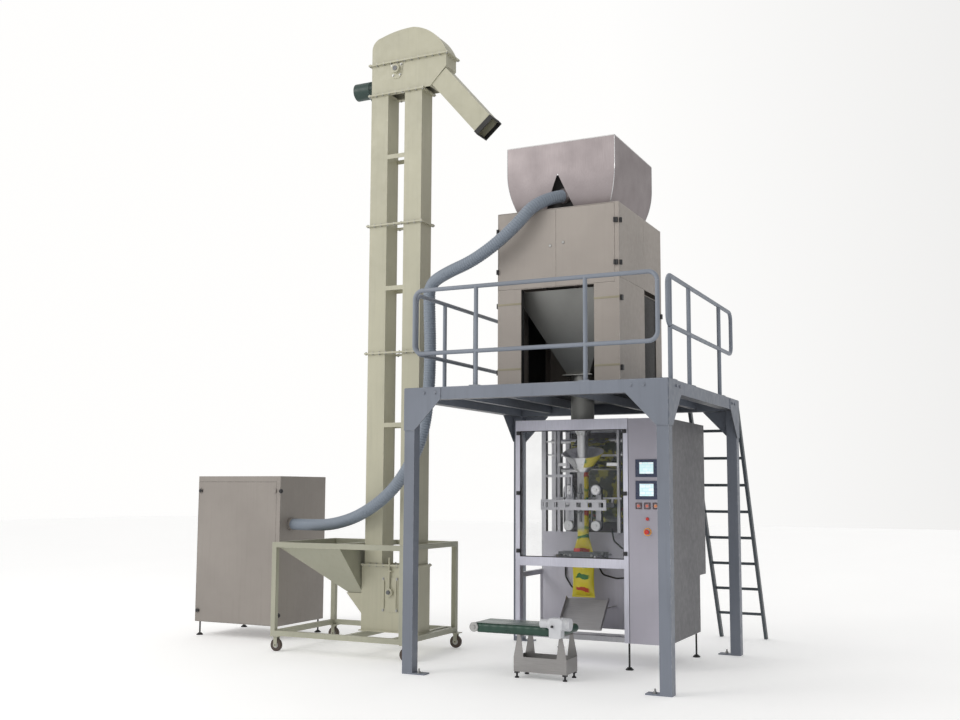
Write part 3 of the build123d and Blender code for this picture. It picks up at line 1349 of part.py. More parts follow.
def hood_body(inset, open_low):
    """Domed hood: upright left side, crowned top and a long slope down on the right."""
    z0 = head_split + flange_sheet - open_low
    with BuildPart() as hood:
        with BuildSketch(Plane.XZ.offset(-(head_y0 + inset))):
            with BuildLine():
                left = Line((head_x0 + inset, z0), (head_x0 + inset, head_split + 180))
                corner = ThreePointArc(left @ 1, (head_x0 + 30 + inset, head_split + 255),
                                       (head_x0 + 110, elevator_top - 57 - inset))
                crown = ThreePointArc(corner @ 1, (elevator_x + 33, elevator_top - 10 - inset),
                                      (elevator_x + 188, elevator_top - inset - 4))
                slope = ThreePointArc(crown @ 1, (head_x1 - 156 - inset, elevator_top - 110 - inset),
                                      (head_x1 - inset, z0 + 20))
                Line(slope @ 1, (head_x1 - inset, z0))
                Line((head_x1 - inset, z0), left @ 0)
            make_face()
        extrude(amount=-(head_y1 - head_y0 - 2 * inset))
    return hood.part


with BuildPart() as head_box:
    add(head_body(0, 0, 0))
    add(head_body(head_sheet, 1, 1), mode=Mode.SUBTRACT)
    for y_wall in (head_y0, head_y1 - head_sheet):
        add(rod((elevator_x, y_wall - 1, head_pulley_z), (elevator_x, y_wall + head_sheet + 1, head_pulley_z),
                25.05), mode=Mode.SUBTRACT)
with BuildPart() as head_flange:
    with BuildSketch(Plane.XY.offset(head_split)):
        with Locations(((head_x0 + head_x1) / 2, elevator_y)):
            Rectangle(head_x1 - head_x0 + 2 * flange_rim, leg_depth + 2 * flange_rim)
            Rectangle(head_x1 - head_x0 - 2 * head_sheet, leg_depth - 2 * head_sheet, mode=Mode.SUBTRACT)
    extrude(amount=flange_sheet)
with BuildPart() as hood:
    add(hood_body(0, 0))
    add(hood_body(head_sheet, 1), mode=Mode.SUBTRACT)
# pillow bearing with its guard plate, front and rear
bearing_pieces = []
for y_out, y_face in ((-1, head_y0), (1, head_y1)):
    with BuildPart() as guard:
        add(panel_xz([(elevator_x - 75, head_pulley_z + 66), (elevator_x + 75, head_pulley_z + 66),
                      (elevator_x + 58, head_pulley_z - 60), (elevator_x + 34, head_pulley_z - 96),
                      (elevator_x - 34, head_pulley_z - 96), (elevator_x - 58, head_pulley_z - 60)],
                     min(y_face, y_face + y_out * 6), max(y_face, y_face + y_out * 6)))
        add(rod((elevator_x, y_face - 10, head_pulley_z), (elevator_x, y_face + 10, head_pulley_z), 25.05),
            mode=Mode.SUBTRACT)
    bearing_pieces.append(guard.part)
    bearing_pieces.append(rod((elevator_x, y_face + y_out * 6, head_pulley_z),
                              (elevator_x, y_face + y_out * 42, head_pulley_z), 44, 25.05))
save("elevator_head", [head_box.part, head_flange.part, hood.part] + bearing_pieces)

# spout: square chute with a rubber sleeve on its end
spout_dir = Vector(cos(radians(spout_angle)), 0, -sin(radians(spout_angle)))
spout_start = Vector(head_x1 - 90, elevator_y, head_base + flange_sheet + 96)
spout_plane = Plane(origin=spout_start, x_dir=(0, 1, 0), z_dir=spout_dir)
spout_pieces = []
for plate in sleeve_walls(spout_plane, leg_depth - 20, spout_side, 3, spout_length + 20):
    with BuildPart() as trimmed:
        add(plate)
        add(head_body(-0.5, 0, 0), mode=Mode.SUBTRACT)
    spout_pieces.append(trimmed.part.solids().sort_by(Axis.X)[-1])
sleeve_plane = Plane(origin=spout_start + spout_dir * (spout_length - 25), x_dir=(0, 1, 0), z_dir=spout_dir)
spout_pieces += sleeve_walls(sleeve_plane, leg_depth - 10, spout_side + 10, 5, sleeve_length + 25)
save("elevator_spout", spout_pieces)

# gearmotor on the rear end of the head shaft
drive_y = head_y1 + 42
drive_z = head_pulley_z
motor_low = drive_z - 30
with BuildPart() as gearbox:
    add(block(elevator_x - 80, elevator_x + 80, drive_y + 2, drive_y + 160, drive_z - 190, drive_z + 75))
    fillet(gearbox.edges().filter_by(Axis.Y), 20)
    add(rod((elevator_x, drive_y - 10, drive_z), (elevator_x, drive_y + 120, drive_z), 25.05), mode=Mode.SUBTRACT)
motor_mid_y = drive_y + 80
bell_left = elevator_x - 80 - 190
barrel_left = bell_left - 230
with BuildPart() as junction_box:
    add(block(bell_left - 220, bell_left - 110, motor_mid_y - 50, motor_mid_y + 50,
              motor_low - 135, motor_low - 60))
    add(rod((bell_left, motor_mid_y, motor_low), (bell_left - 300, motor_mid_y, motor_low), 82),
        mode=Mode.SUBTRACT)
elevator_motor = [
    gearbox.part,
    rod((elevator_x - 80, motor_mid_y, motor_low), (bell_left, motor_mid_y, motor_low), 64),
    rod((bell_left, motor_mid_y, motor_low), (barrel_left, motor_mid_y, motor_low), 82),
    rod((barrel_left, motor_mid_y, motor_low), (barrel_left - 190, motor_mid_y, motor_low), 92),
    junction_box.part,
]
save("elevator_motor", elevator_motor)


# ---------------------------------------------------------------- pulleys and bucket belt
def pulley(z_mid, shaft, y0, y1):
    """Crowned drum on a through shaft."""
    with BuildPart() as drum:
        add(rod((elevator_x, head_y0 + 30, z_mid), (elevator_x, head_y1 - 30, z_mid), pulley_radius))
        add(rod((elevator_x, y0, z_mid), (elevator_x, y1, z_mid), shaft))
    return drum.part


save("head_pulley", [pulley(head_pulley_z, 25, head_y0 - 50, drive_y + 110)])
save("boot_pulley", [pulley(boot_pulley_z, 20, boot_y0 - 46, boot_y1 + 8)])
belt_inner = pulley_radius + running_gap
belt_thick = 6.0
bucket_reach = 90.0
bucket_tall = 110.0
bucket_pitch = 330.0
with BuildPart() as lift_belt:
    with BuildSketch(Plane(origin=(elevator_x, head_y1 - 32, (boot_pulley_z + head_pulley_z) / 2),
                           x_dir=(1, 0, 0), z_dir=(0, -1, 0))):
        SlotCenterToCenter(head_pulley_z - boot_pulley_z, 2 * (belt_inner + belt_thick), rotation=90)
        SlotCenterToCenter(head_pulley_z - boot_pulley_z, 2 * belt_inner, rotation=90, mode=Mode.SUBTRACT)
    extrude(amount=leg_depth - 64)
lift_pieces = [lift_belt.part]
bucket_count = int((head_pulley_z - boot_pulley_z - 200) // bucket_pitch)
for side in (-1, 1):
    for index in range(bucket_count):
        x_in = elevator_x + side * (belt_inner + belt_thick)
        x_out = x_in + side * bucket_reach
        z_low = boot_pulley_z + 150 + index * bucket_pitch
        mouth_z, toe_z = (z_low + bucket_tall, z_low) if side < 0 else (z_low, z_low + bucket_tall)
        lift_pieces.append(panel_xz([(x_in, mouth_z), (x_out, mouth_z), (x_in + side * 30, toe_z), (x_in, toe_z)],
                                    head_y0 + 36, head_y1 - 36))
save("bucket_belt", lift_pieces)

# ---------------------------------------------------------------- cart with its intake hopper
cart_pieces = []
bar_wall = 3.0
half = cart_bar / 2
top_mid = cart_top - half
floor_mid = cart_floor + half
corner_xs = (cart_left + half, cart_right - half)
corner_ys = (cart_front + half, cart_rear - half)
for x_post in corner_xs:
    for y_post in corner_ys:
        cart_pieces.append(square_tube((x_post, y_post, cart_floor), (x_post, y_post, cart_top),
                                       cart_bar, cart_bar, bar_wall))
for z_bar in (top_mid, floor_mid):
    for y_bar in corner_ys:
        cart_pieces.append(square_tube((cart_left + cart_bar, y_bar, z_bar), (cart_right - cart_bar, y_bar, z_bar),
                                       cart_bar, cart_bar, bar_wall))
    for x_bar in corner_xs:
        cart_pieces.append(square_tube((x_bar, cart_front + cart_bar, z_bar), (x_bar, cart_rear - cart_bar, z_bar),
                                       cart_bar, cart_bar, bar_wall))
mouth_right = elevator_left - 68
for x_bar, z_bar in ((mouth_right + half, top_mid), (boot_x0 + 60, floor_mid), (boot_x1 - 60, floor_mid)):
    cart_pieces.append(square_tube((x_bar, cart_front + cart_bar, z_bar), (x_bar, cart_rear - cart_bar, z_bar),
                                   cart_bar, cart_bar, bar_wall))
caster_inset = 45.0
caster_xs = (cart_left + caster_inset, cart_right + 5)
caster_ys = (cart_front + caster_inset, cart_rear - caster_inset)
fork_half = wheel_width / 2 + 3
axle_radius = 8.0
for x_wheel in caster_xs:
    for y_wheel in caster_ys:
        cart_pieces.append(block(x_wheel - 50, x_wheel + 50, y_wheel - 45, y_wheel + 45,
                                 cart_floor - 8, cart_floor))
        cart_pieces.append(block(x_wheel - 24, x_wheel + 24, y_wheel - fork_half - 5, y_wheel + fork_half + 5,
                                 cart_floor - 16, cart_floor - 8))
        for side in (-1, 1):
            y_in = y_wheel + side * fork_half
            y_out = y_in + side * 5
            with BuildPart() as fork:
                add(block(x_wheel - 20, x_wheel + 20, min(y_in, y_out), max(y_in, y_out),
                          wheel_radius - 16, cart_floor - 16))
                add(rod((x_wheel, y_wheel - 60, wheel_radius), (x_wheel, y_wheel + 60, wheel_radius),
                        axle_radius + 0.05), mode=Mode.SUBTRACT)
            cart_pieces.append(fork.part)
save("cart_frame", cart_pieces)
for name, x_wheel in (("caster_wheels_left", caster_xs[0]), ("caster_wheels_right", caster_xs[1])):
    wheels = []
    for y_wheel in caster_ys:
        with BuildPart() as wheel:
            add(rod((x_wheel, y_wheel - wheel_width / 2, wheel_radius),
                    (x_wheel, y_wheel + wheel_width / 2, wheel_radius), wheel_radius))
            fillet(wheel.edges().filter_by(GeomType.CIRCLE), 6)
            add(rod((x_wheel, y_wheel - fork_half - 5, wheel_radius),
                    (x_wheel, y_wheel + fork_half + 5, wheel_radius), axle_radius))
        wheels.append(wheel.part)
    save(name, wheels)

intake_sheet = 3.0
mouth_left = cart_left + cart_bar
mouth_front = cart_front + cart_bar
mouth_rear = cart_rear - cart_bar
outlet_x0 = boot_x0 - lip_reach + 20
outlet_x1 = boot_x0 - 2
collar_low = cart_top - cart_bar
collar_top = cart_top - 8
mouth = (mouth_left, mouth_right, mouth_front, mouth_rear)
outlet_half = 88.0
intake_pieces = folded_walls((*mouth, collar_low), (*mouth, collar_top), intake_sheet)
intake_pieces += folded_walls((outlet_x0, outlet_x1, elevator_y - outlet_half, elevator_y + outlet_half, lip_high + 2),
                              (*mouth, collar_low), intake_sheet)
save("intake_hopper", intake_pieces)

# ---------------------------------------------------------------- dust cabinet
dust_sheet = 3.0
dust_in_x0, dust_in_x1 = dust_left + dust_sheet, dust_right - dust_sheet
dust_wall_back = dust_rear - dust_sheet
dust_door_deep = 22.0
dust_body_front = dust_front + dust_door_deep
dust_edge = 45.0
port_dir = hose_back
with BuildPart() as dust_side:
    add(block(dust_in_x1, dust_right, dust_front, dust_rear, dust_base, dust_top))
    add(rod(hose_end - port_dir * 60, hose_end + port_dir * 60, hose_radius + running_gap), mode=Mode.SUBTRACT)
with BuildPart() as dust_collar:
    add(rod(hose_end - port_dir * 60, hose_end + port_dir * 60,
            hose_radius + running_gap + collar_wall, hose_radius + running_gap))
    add(block(dust_right - 300, dust_right, dust_front, dust_rear, dust_base, dust_top), mode=Mode.SUBTRACT)
shelf_z = 820.0
dust_pieces = [
    dust_side.part,
    dust_collar.part,
    block(dust_left, dust_in_x0, dust_front, dust_rear, dust_base, dust_top),
    block(dust_in_x0, dust_in_x1, dust_wall_back, dust_rear, dust_base, dust_top),
    block(dust_in_x0, dust_in_x1, dust_front, dust_wall_back, dust_base, dust_base + dust_sheet),
    block(dust_in_x0, dust_in_x1, dust_front, dust_wall_back, dust_top - dust_sheet, dust_top),
    block(dust_in_x0, dust_in_x1, dust_front, dust_body_front, dust_top - 60, dust_top - dust_sheet),
    block(dust_in_x1 - dust_edge, dust_in_x1, dust_front, dust_body_front, dust_base + dust_sheet,
          dust_top - 60),
    # filter shelf, filter cartridges above it and the fan below
    block(dust_in_x0, dust_in_x1, dust_body_front + 60, dust_wall_back, shelf_z, shelf_z + dust_sheet),
]
for x_filter in (dust_left + 240, dust_left + 560, dust_left + 880):
    dust_pieces.append(rod((x_filter, (dust_front + dust_rear) / 2 + 40, shelf_z + dust_sheet),
                           (x_filter, (dust_front + dust_rear) / 2 + 40, shelf_z + 700), 130, 90))
fan_y = (dust_front + dust_rear) / 2
dust_pieces.append(rod((dust_left + 560, fan_y - 90, 430), (dust_left + 560, fan_y + 90, 430), 230))
dust_pieces.append(rod((dust_left + 560, fan_y + 90, 430), (dust_left + 560, fan_y + 300, 430), 90))
dust_pieces.append(block(dust_left + 430, dust_left + 690, fan_y - 60, fan_y + 60,
                         dust_base + dust_sheet, 205))
# upright bar behind the hose's inlet keeps anything large out of the filters
guard_reach = hose_radius + 25
guard_bar = 4.0
dust_pieces.append(block(dust_in_x1 - 5, dust_in_x1, hose_end.Y - guard_bar, hose_end.Y + guard_bar,
                         hose_end.Z - guard_reach, hose_end.Z + guard_reach))
save("dust_cabinet", dust_pieces)

dust_door_x0 = dust_in_x0 + panel_gap
dust_door_x1 = dust_in_x1 - dust_edge - panel_gap
dust_door_z0 = dust_base + dust_sheet + panel_gap
dust_door_z1 = dust_top - 60 - panel_gap
dust_door = [tray_door(dust_door_x0, dust_door_x1, dust_front, dust_body_front, dust_door_z0, dust_door_z1)]
for x_knob in (dust_left + 34, dust_right - 24 - dust_edge):
    for z_knob in (1575.0, 268.0):
        dust_door.append(block(x_knob - 18, x_knob + 18, dust_front - 14, dust_front, z_knob - 20, z_knob + 20))
save("dust_door", dust_door)

# ---------------------------------------------------------------- suction hose


def hose_radii(points):
    """Bend radius at each corner: as large as the shorter of its two runs allows."""
    radii = []
    for before, here, after in zip(points[:-2], points[1:-1], points[2:]):
        run_in = Vector(*here) - Vector(*before)
        run_out = Vector(*after) - Vector(*here)
        half_turn = radians(run_in.get_angle(run_out)) / 2
        radii.append(0.45 * min(run_in.length, run_out.length) / tan(half_turn))
    return radii


bend_radii = hose_radii(hose_points)
print("hose bend radii", [round(radius) for radius in bend_radii])
with BuildPart() as suction_hose:
    with BuildLine():
        hose_path = FilletPolyline(*hose_points, radius=bend_radii)
    with BuildSketch(Plane(origin=hose_path @ 0, z_dir=hose_path % 0)):
        Circle(hose_radius)
        Circle(hose_radius - hose_wall, mode=Mode.SUBTRACT)
    sweep()
hose_section = 3.14159265 * (hose_radius ** 2 - (hose_radius - hose_wall) ** 2)
print("hose length", round(hose_path.length), "volume over section times length",
      round(suction_hose.part.volume / (hose_section * hose_path.length), 4))
save("suction_hose", [suction_hose.part])

# ---------------------------------------------------------------- levelling feet
foot_pieces = []


def levelling_foot(x, y, top, pad=36.0):
    """Threaded stem on a round pad, up to the underside of what it carries."""
    with BuildPart() as foot:
        with BuildSketch():
            with Locations((x, y)):
                Circle(pad)
        extrude(amount=10)
        with BuildSketch(Plane.XY.offset(10)):
            with Locations((x, y)):
                Circle(pad - 4)
        extrude(amount=14, taper=45)
        with BuildSketch(Plane.XY.offset(10)):
            with Locations((x, y)):
                Circle(9)
        extrude(amount=top - 10)
    return foot.part


for x_foot in (post_a, post_b):
    for y_foot in (post_y0, post_y1):
        foot_pieces.append(levelling_foot(x_foot, y_foot, machine_base))
for y_foot in (post_y0, post_y1):
    foot_pieces.append(levelling_foot(machine_right - 40, y_foot, machine_base))
for x_foot in (stand_left + 22, stand_right - 22):
    for y_foot in (stand_front + 22, stand_rear - 22):
        foot_pieces.append(levelling_foot(x_foot, y_foot, 40, 20.0))
        foot_pieces.append(block(x_foot - 18, x_foot + 18, y_foot - 18, y_foot + 18, 40, tray_low))
for x_foot in (dust_left + 40, dust_right - 40):
    for y_foot in (dust_front + 40, dust_rear - 40):
        foot_pieces.append(levelling_foot(x_foot, y_foot, dust_base))
save("levelling_feet", foot_pieces)
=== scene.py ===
# %% [markdown]
# # A granule bagging line, dressed round its packed design
#
# The real object is a whole line: a bucket elevator on a cart, a supply hopper and weigher on a
# steel platform, a vertical form fill seal machine under it, a short take-off belt, and a dust
# cabinet joined to the hopper by one free hose.  The design is packed already, with every piece in
# its place, so this script only gives each piece its finish and adds the small pieces that a
# design leaves out.  Small fittings that can't be seen clearly on the real line, such as anchors,
# screws, welds, fins and terminals, follow what such lines usually have.  Everything is in metres,
# in the design's own frame.

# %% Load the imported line
import math

import bmesh
import bpy
import numpy as np
from mathutils import Matrix, Vector


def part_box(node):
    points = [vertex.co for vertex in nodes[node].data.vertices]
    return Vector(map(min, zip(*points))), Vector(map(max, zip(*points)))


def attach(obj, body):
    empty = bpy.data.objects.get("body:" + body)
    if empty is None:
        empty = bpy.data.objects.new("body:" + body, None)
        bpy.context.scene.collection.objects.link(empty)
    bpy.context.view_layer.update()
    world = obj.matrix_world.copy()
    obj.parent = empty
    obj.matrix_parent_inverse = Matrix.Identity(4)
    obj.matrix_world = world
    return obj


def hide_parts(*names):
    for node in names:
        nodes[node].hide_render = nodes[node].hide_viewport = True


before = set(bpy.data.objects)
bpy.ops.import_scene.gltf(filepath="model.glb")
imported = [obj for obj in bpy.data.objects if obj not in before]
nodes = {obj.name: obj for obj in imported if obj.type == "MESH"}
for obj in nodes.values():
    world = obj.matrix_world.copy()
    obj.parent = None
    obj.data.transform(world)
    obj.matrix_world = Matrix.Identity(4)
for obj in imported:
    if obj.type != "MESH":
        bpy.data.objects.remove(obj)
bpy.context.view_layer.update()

# %% [markdown]
# ## The camera
#
# A person stands in front of the line, a little to its right, and looks slightly up.  A camera
# could be aimed with a Track To constraint, but three turns written out (round, up and a little
# roll) say exactly where it looks, and they can be read back by anyone.

# %% Stand in front of the line
camera_spot = Vector((5.3162, -10.3405, 1.5974))
look_round = 0.4494
look_up = 0.1041
look_roll = 0.0041

flat_ahead = Vector((-math.sin(look_round), math.cos(look_round), 0))
flat_right = Vector((math.cos(look_round), math.sin(look_round), 0))
straight_up = Vector((0, 0, 1))
ahead = flat_ahead * math.cos(look_up) + straight_up * math.sin(look_up)
head_up = straight_up * math.cos(look_up) - flat_ahead * math.sin(look_up)
right = flat_right * math.cos(look_roll) + head_up * math.sin(look_roll)
upward = head_up * math.cos(look_roll) - flat_right * math.sin(look_roll)

lens = bpy.data.cameras.new("front_camera")
lens.sensor_width = 36
lens.lens = 40.96
lens.shift_x = -0.0048
lens.shift_y = 0.0164
lens.clip_end = 200
camera = bpy.data.objects.new("front_camera", lens)
turn = Matrix((right, upward, -ahead)).transposed().to_4x4()
camera.matrix_world = Matrix.Translation(camera_spot) @ turn
bpy.context.scene.collection.objects.link(camera)
bpy.context.scene.camera = camera
print("camera at", tuple(round(v, 2) for v in camera_spot))

# %% [markdown]
# ## Finishes: small helpers first
#
# Each finish is built from shader nodes, so it has its detail in the surface at real size and needs
# no picture files.  Object coordinates are metres here, because a design node's own origin is the
# line's origin, so a blotch 0.5 across is half a metre on the real thing.  Three helpers cover most
# needs: a noise of a stated size, a range change and a mix of two colours.

# %% Node helpers
def start_finish(name):
    """A new material with a Principled shader and the object's own coordinates in metres."""
    material = bpy.data.materials.new(name)
    material.use_nodes = True
    tree = material.node_tree
    tree.nodes.clear()
    shader = tree.nodes.new("ShaderNodeBsdfPrincipled")
    output = tree.nodes.new("ShaderNodeOutputMaterial")
    tree.links.new(shader.outputs["BSDF"], output.inputs["Surface"])
    place = tree.nodes.new("ShaderNodeTexCoord").outputs["Object"]
    return material, tree, shader, place


def speckle(tree, place, size, stretch=(1, 1, 1), detail=4):
    """Soft noise with blotches about size metres across, longer along a stretched axis."""
    mapping = tree.nodes.new("ShaderNodeMapping")
    mapping.inputs["Scale"].default_value = [1 / (size * s) for s in stretch]
    tree.links.new(place, mapping.inputs["Vector"])
    noise = tree.nodes.new("ShaderNodeTexNoise")
    noise.inputs["Scale"].default_value = 1
    noise.inputs["Detail"].default_value = detail
    tree.links.new(mapping.outputs["Vector"], noise.inputs["Vector"])
    return noise.outputs[0]


def levels(tree, value, low, high, to_low=0.0, to_high=1.0):
    """Stretches the part of a value between low and high over a new range."""
    spread = tree.nodes.new("ShaderNodeMapRange")
    for label, number in zip(("From Min", "From Max", "To Min", "To Max"), (low, high, to_low, to_high)):
        spread.inputs[label].default_value = number
    tree.links.new(value, spread.inputs["Value"])
    return spread.outputs["Result"]


def plug_in(tree, socket, value):
    """Links a node's output, or sets a plain colour or number."""
    if isinstance(value, bpy.types.NodeSocket):
        tree.links.new(value, socket)
    elif isinstance(value, (tuple, list)):
        socket.default_value = (*value[:3], 1)
    else:
        socket.default_value = value


def blend(tree, share, first, second):
    """Mix of two colours, all of the second where share is 1."""
    mix = tree.nodes.new("ShaderNodeMix")
    mix.data_type = "RGBA"
    plug_in(tree, mix.inputs["Factor"], share)
    plug_in(tree, mix.inputs[6], first)
    plug_in(tree, mix.inputs[7], second)
    return mix.outputs[2]


def sums(tree, operation, first, second):
    """One step of arithmetic between node values."""
    step = tree.nodes.new("ShaderNodeMath")
    step.operation = operation
    plug_in(tree, step.inputs[0], first)
    plug_in(tree, step.inputs[1], second)
    return step.outputs[0]


def raise_grain(tree, shader, height, depth, strength=0.4):
    """Bump on the shader from a height value, depth in metres."""
    bump = tree.nodes.new("ShaderNodeBump")
    bump.inputs["Strength"].default_value = strength
    bump.inputs["Distance"].default_value = depth
    tree.links.new(height, bump.inputs["Height"])
    tree.links.new(bump.outputs["Normal"], shader.inputs["Normal"])


def tint(colour, share):
    """A colour made darker or lighter."""
    return tuple(min(1.0, part * share) for part in colour)


print("node helpers ready")

# %% [markdown]
# ## Painted steel
#
# Most of the line is sheet and tube under sprayed enamel.  Real enamel is never one colour: it has
# broad soft changes of tone, faint runs of dust down upright faces, a fine orange-peel skin, and
# thin bright wear where corners get knocked.  The Bevel node finds corners without any painting by
# hand: where its rounded normal leaves the true one, there is an edge.

# %% Edge finder and paint
def corner_mask(tree, radius):
    """1 at sharp corners and 0 on flat faces."""
    bevel = tree.nodes.new("ShaderNodeBevel")
    bevel.samples = 4
    bevel.inputs["Radius"].default_value = radius
    true_normal = tree.nodes.new("ShaderNodeNewGeometry").outputs["Normal"]
    compare = tree.nodes.new("ShaderNodeVectorMath")
    compare.operation = "DOT_PRODUCT"
    tree.links.new(bevel.outputs["Normal"], compare.inputs[0])
    tree.links.new(true_normal, compare.inputs[1])
    return levels(tree, compare.outputs["Value"], 0.99, 0.86)


def paint(name, colour, rough=0.45, dust=0.35, worn=None, shaded_underside=None):
    """Sprayed enamel over steel, with dust runs, orange peel and rubbed corners, and painted shade on
    downward faces when a shaded underside colour is given.
    """
    material, tree, shader, place = start_finish(name)
    broad = levels(tree, speckle(tree, place, 0.7), 0.35, 0.65)
    coat = blend(tree, broad, tint(colour, 1.04), tint(colour, 0.9))
    runs = levels(tree, speckle(tree, place, 0.035, (1, 1, 18)), 0.5, 0.78, 0, dust)
    coat = blend(tree, runs, coat, tint(colour, 0.74))
    spots = levels(tree, speckle(tree, place, 0.012), 0.68, 0.76, 0, dust)
    coat = blend(tree, spots, coat, tint(colour, 0.6))
    patchy = levels(tree, speckle(tree, place, 0.03), 0.42, 0.6)
    rubbed = sums(tree, "MULTIPLY", corner_mask(tree, 0.004), patchy)
    coat = blend(tree, rubbed, coat, worn or tint(colour, 1.35))
    # Painted shade: where the normal points down, the coat turns to the shaded underside colour.
    if shaded_underside:
        facing = tree.nodes.new("ShaderNodeSeparateXYZ")
        tree.links.new(tree.nodes.new("ShaderNodeNewGeometry").outputs["Normal"], facing.inputs[0])
        coat = blend(tree, levels(tree, facing.outputs["Z"], -0.4, -0.6), coat, shaded_underside)
    tree.links.new(coat, shader.inputs["Base Color"])
    tree.links.new(levels(tree, speckle(tree, place, 0.05), 0.3, 0.7, rough - 0.07, rough + 0.1),
                   shader.inputs["Roughness"])
    raise_grain(tree, shader, speckle(tree, place, 0.0016, detail=2), 0.0002, 0.25)
    return material


# The platform's downward faces take painted shade, a near-black blue-grey.
platform_grey = paint("platform_grey", (0.178, 0.198, 0.24), worn=(0.42, 0.44, 0.48),
                      shaded_underside=(0.05, 0.055, 0.065))
rail_grey = paint("rail_grey", (0.21, 0.235, 0.28), dust=0.2, worn=(0.45, 0.47, 0.5))
ladder_grey = paint("ladder_grey", (0.055, 0.068, 0.078), dust=0.25, worn=(0.2, 0.22, 0.24))
weigher_beige = paint("weigher_beige", (0.35, 0.312, 0.28), dust=0.16, worn=(0.55, 0.5, 0.45))
elevator_cream = paint("elevator_cream", (0.46, 0.445, 0.335), dust=0.3, worn=(0.66, 0.64, 0.55))
cart_cream = paint("cart_cream", (0.38, 0.378, 0.295), dust=0.3, worn=(0.62, 0.6, 0.5))
cabinet_beige = paint("cabinet_beige", (0.29, 0.262, 0.238), dust=0.22, worn=(0.5, 0.46, 0.42))
machine_lilac = paint("machine_lilac", (0.40, 0.385, 0.445), dust=0.12, worn=(0.58, 0.57, 0.6))
cabinet_slate = paint("cabinet_slate", (0.145, 0.143, 0.152), dust=0.12, worn=(0.4, 0.4, 0.42))
panel_lilac = paint("panel_lilac", (0.56, 0.55, 0.62), dust=0.2, worn=(0.6, 0.6, 0.62))
inner_shadow = paint("inner_shadow", (0.045, 0.036, 0.034), rough=0.6, dust=0.3)
motor_green = paint("motor_green", (0.018, 0.045, 0.038), rough=0.4, worn=(0.1, 0.14, 0.13))
motor_white = paint("motor_white", (0.62, 0.63, 0.66), rough=0.35, dust=0.3, worn=(0.8, 0.8, 0.8))
jaw_steel = paint("jaw_steel", (0.11, 0.115, 0.12), rough=0.35, worn=(0.5, 0.5, 0.5))
khaki_band = paint("khaki_band", (0.30, 0.27, 0.19), dust=0.2)
alarm_red = paint("alarm_red", (0.62, 0.03, 0.02), rough=0.3, dust=0.1)
amber_ring = paint("amber_ring", (0.85, 0.36, 0.03), rough=0.3, dust=0.1)
print("painted finishes ready")

# %% [markdown]
# ## Bare metal
#
# The hopper, chutes and tubes are stainless sheet.  Its look comes from grinding: countless fine
# lines in one direction that spread highlights across them.  Anisotropic shading could do it, but
# fine streaks in roughness and height survive export, so the streaks are real noise, 60 times
# longer along the grain than across it, over soft clouds where hands and dust have dulled it.

# %% Brushed and turned metal
def brushed(name, colour, grain=(1, 1, 60), rough=0.34, cloud=0.3):
    """Ground stainless sheet or drawn bar, streaked along one axis."""
    material, tree, shader, place = start_finish(name)
    streaks = speckle(tree, place, 0.0022, grain, detail=3)
    clouds = levels(tree, speckle(tree, place, cloud), 0.3, 0.7)
    metal = blend(tree, levels(tree, streaks, 0.35, 0.65), tint(colour, 0.86), tint(colour, 1.08))
    metal = blend(tree, sums(tree, "MULTIPLY", clouds, 0.45), metal, tint(colour, 0.8))
    tree.links.new(metal, shader.inputs["Base Color"])
    shader.inputs["Metallic"].default_value = 1
    fine = levels(tree, streaks, 0.3, 0.7, rough - 0.06, rough + 0.06)
    dull = sums(tree, "MULTIPLY", clouds, 0.12)
    tree.links.new(sums(tree, "ADD", fine, dull), shader.inputs["Roughness"])
    raise_grain(tree, shader, streaks, 0.0001, 0.3)
    return material


hopper_steel = brushed("hopper_steel", (0.36, 0.32, 0.325), rough=0.44, cloud=0.22)
stainless = brushed("stainless", (0.60, 0.59, 0.585))
funnel_steel = brushed("funnel_steel", (0.40, 0.40, 0.38), rough=0.45)
chute_steel = brushed("chute_steel", (0.56, 0.55, 0.56), grain=(60, 1, 1), rough=0.38)
stand_steel = brushed("stand_steel", (0.34, 0.33, 0.325), grain=(60, 1, 1), rough=0.42)
frame_metal = brushed("frame_metal", (0.50, 0.50, 0.53), rough=0.38)
door_metal = brushed("door_metal", (0.60, 0.60, 0.68), rough=0.42)
turned_steel = brushed("turned_steel", (0.66, 0.66, 0.67), grain=(30, 1, 1), rough=0.22)
zinc = brushed("zinc", (0.42, 0.42, 0.41), grain=(1, 1, 1), rough=0.35)
print("bare metals ready")

# %% [markdown]
# ## Rubber, plastic, glass and screens
#
# Moulded parts have a fine pebble skin and faint patches of dust.  The window is one thin sheet:
# a refracting shader would cast a black shadow inside the machine, so it is a low alpha instead,
# which lets light in as thin acrylic does.  The two operator displays glow, with a plain pattern of
# tiles and no words.

# %% Moulded, clear and lit finishes
def moulded(name, colour, rough=0.5, pebble=0.0012, wear=0.2):
    """Moulded plastic or rubber with a fine pebble skin."""
    material, tree, shader, place = start_finish(name)
    dusty = levels(tree, speckle(tree, place, 0.08), 0.45, 0.75, 0, wear)
    skin = blend(tree, dusty, colour, tuple(part + 0.06 for part in colour))
    tree.links.new(skin, shader.inputs["Base Color"])
    tree.links.new(levels(tree, speckle(tree, place, 0.02), 0.3, 0.7, rough - 0.08, rough + 0.08),
                   shader.inputs["Roughness"])
    raise_grain(tree, shader, speckle(tree, place, pebble, detail=2), 0.0003, 0.35)
    return material


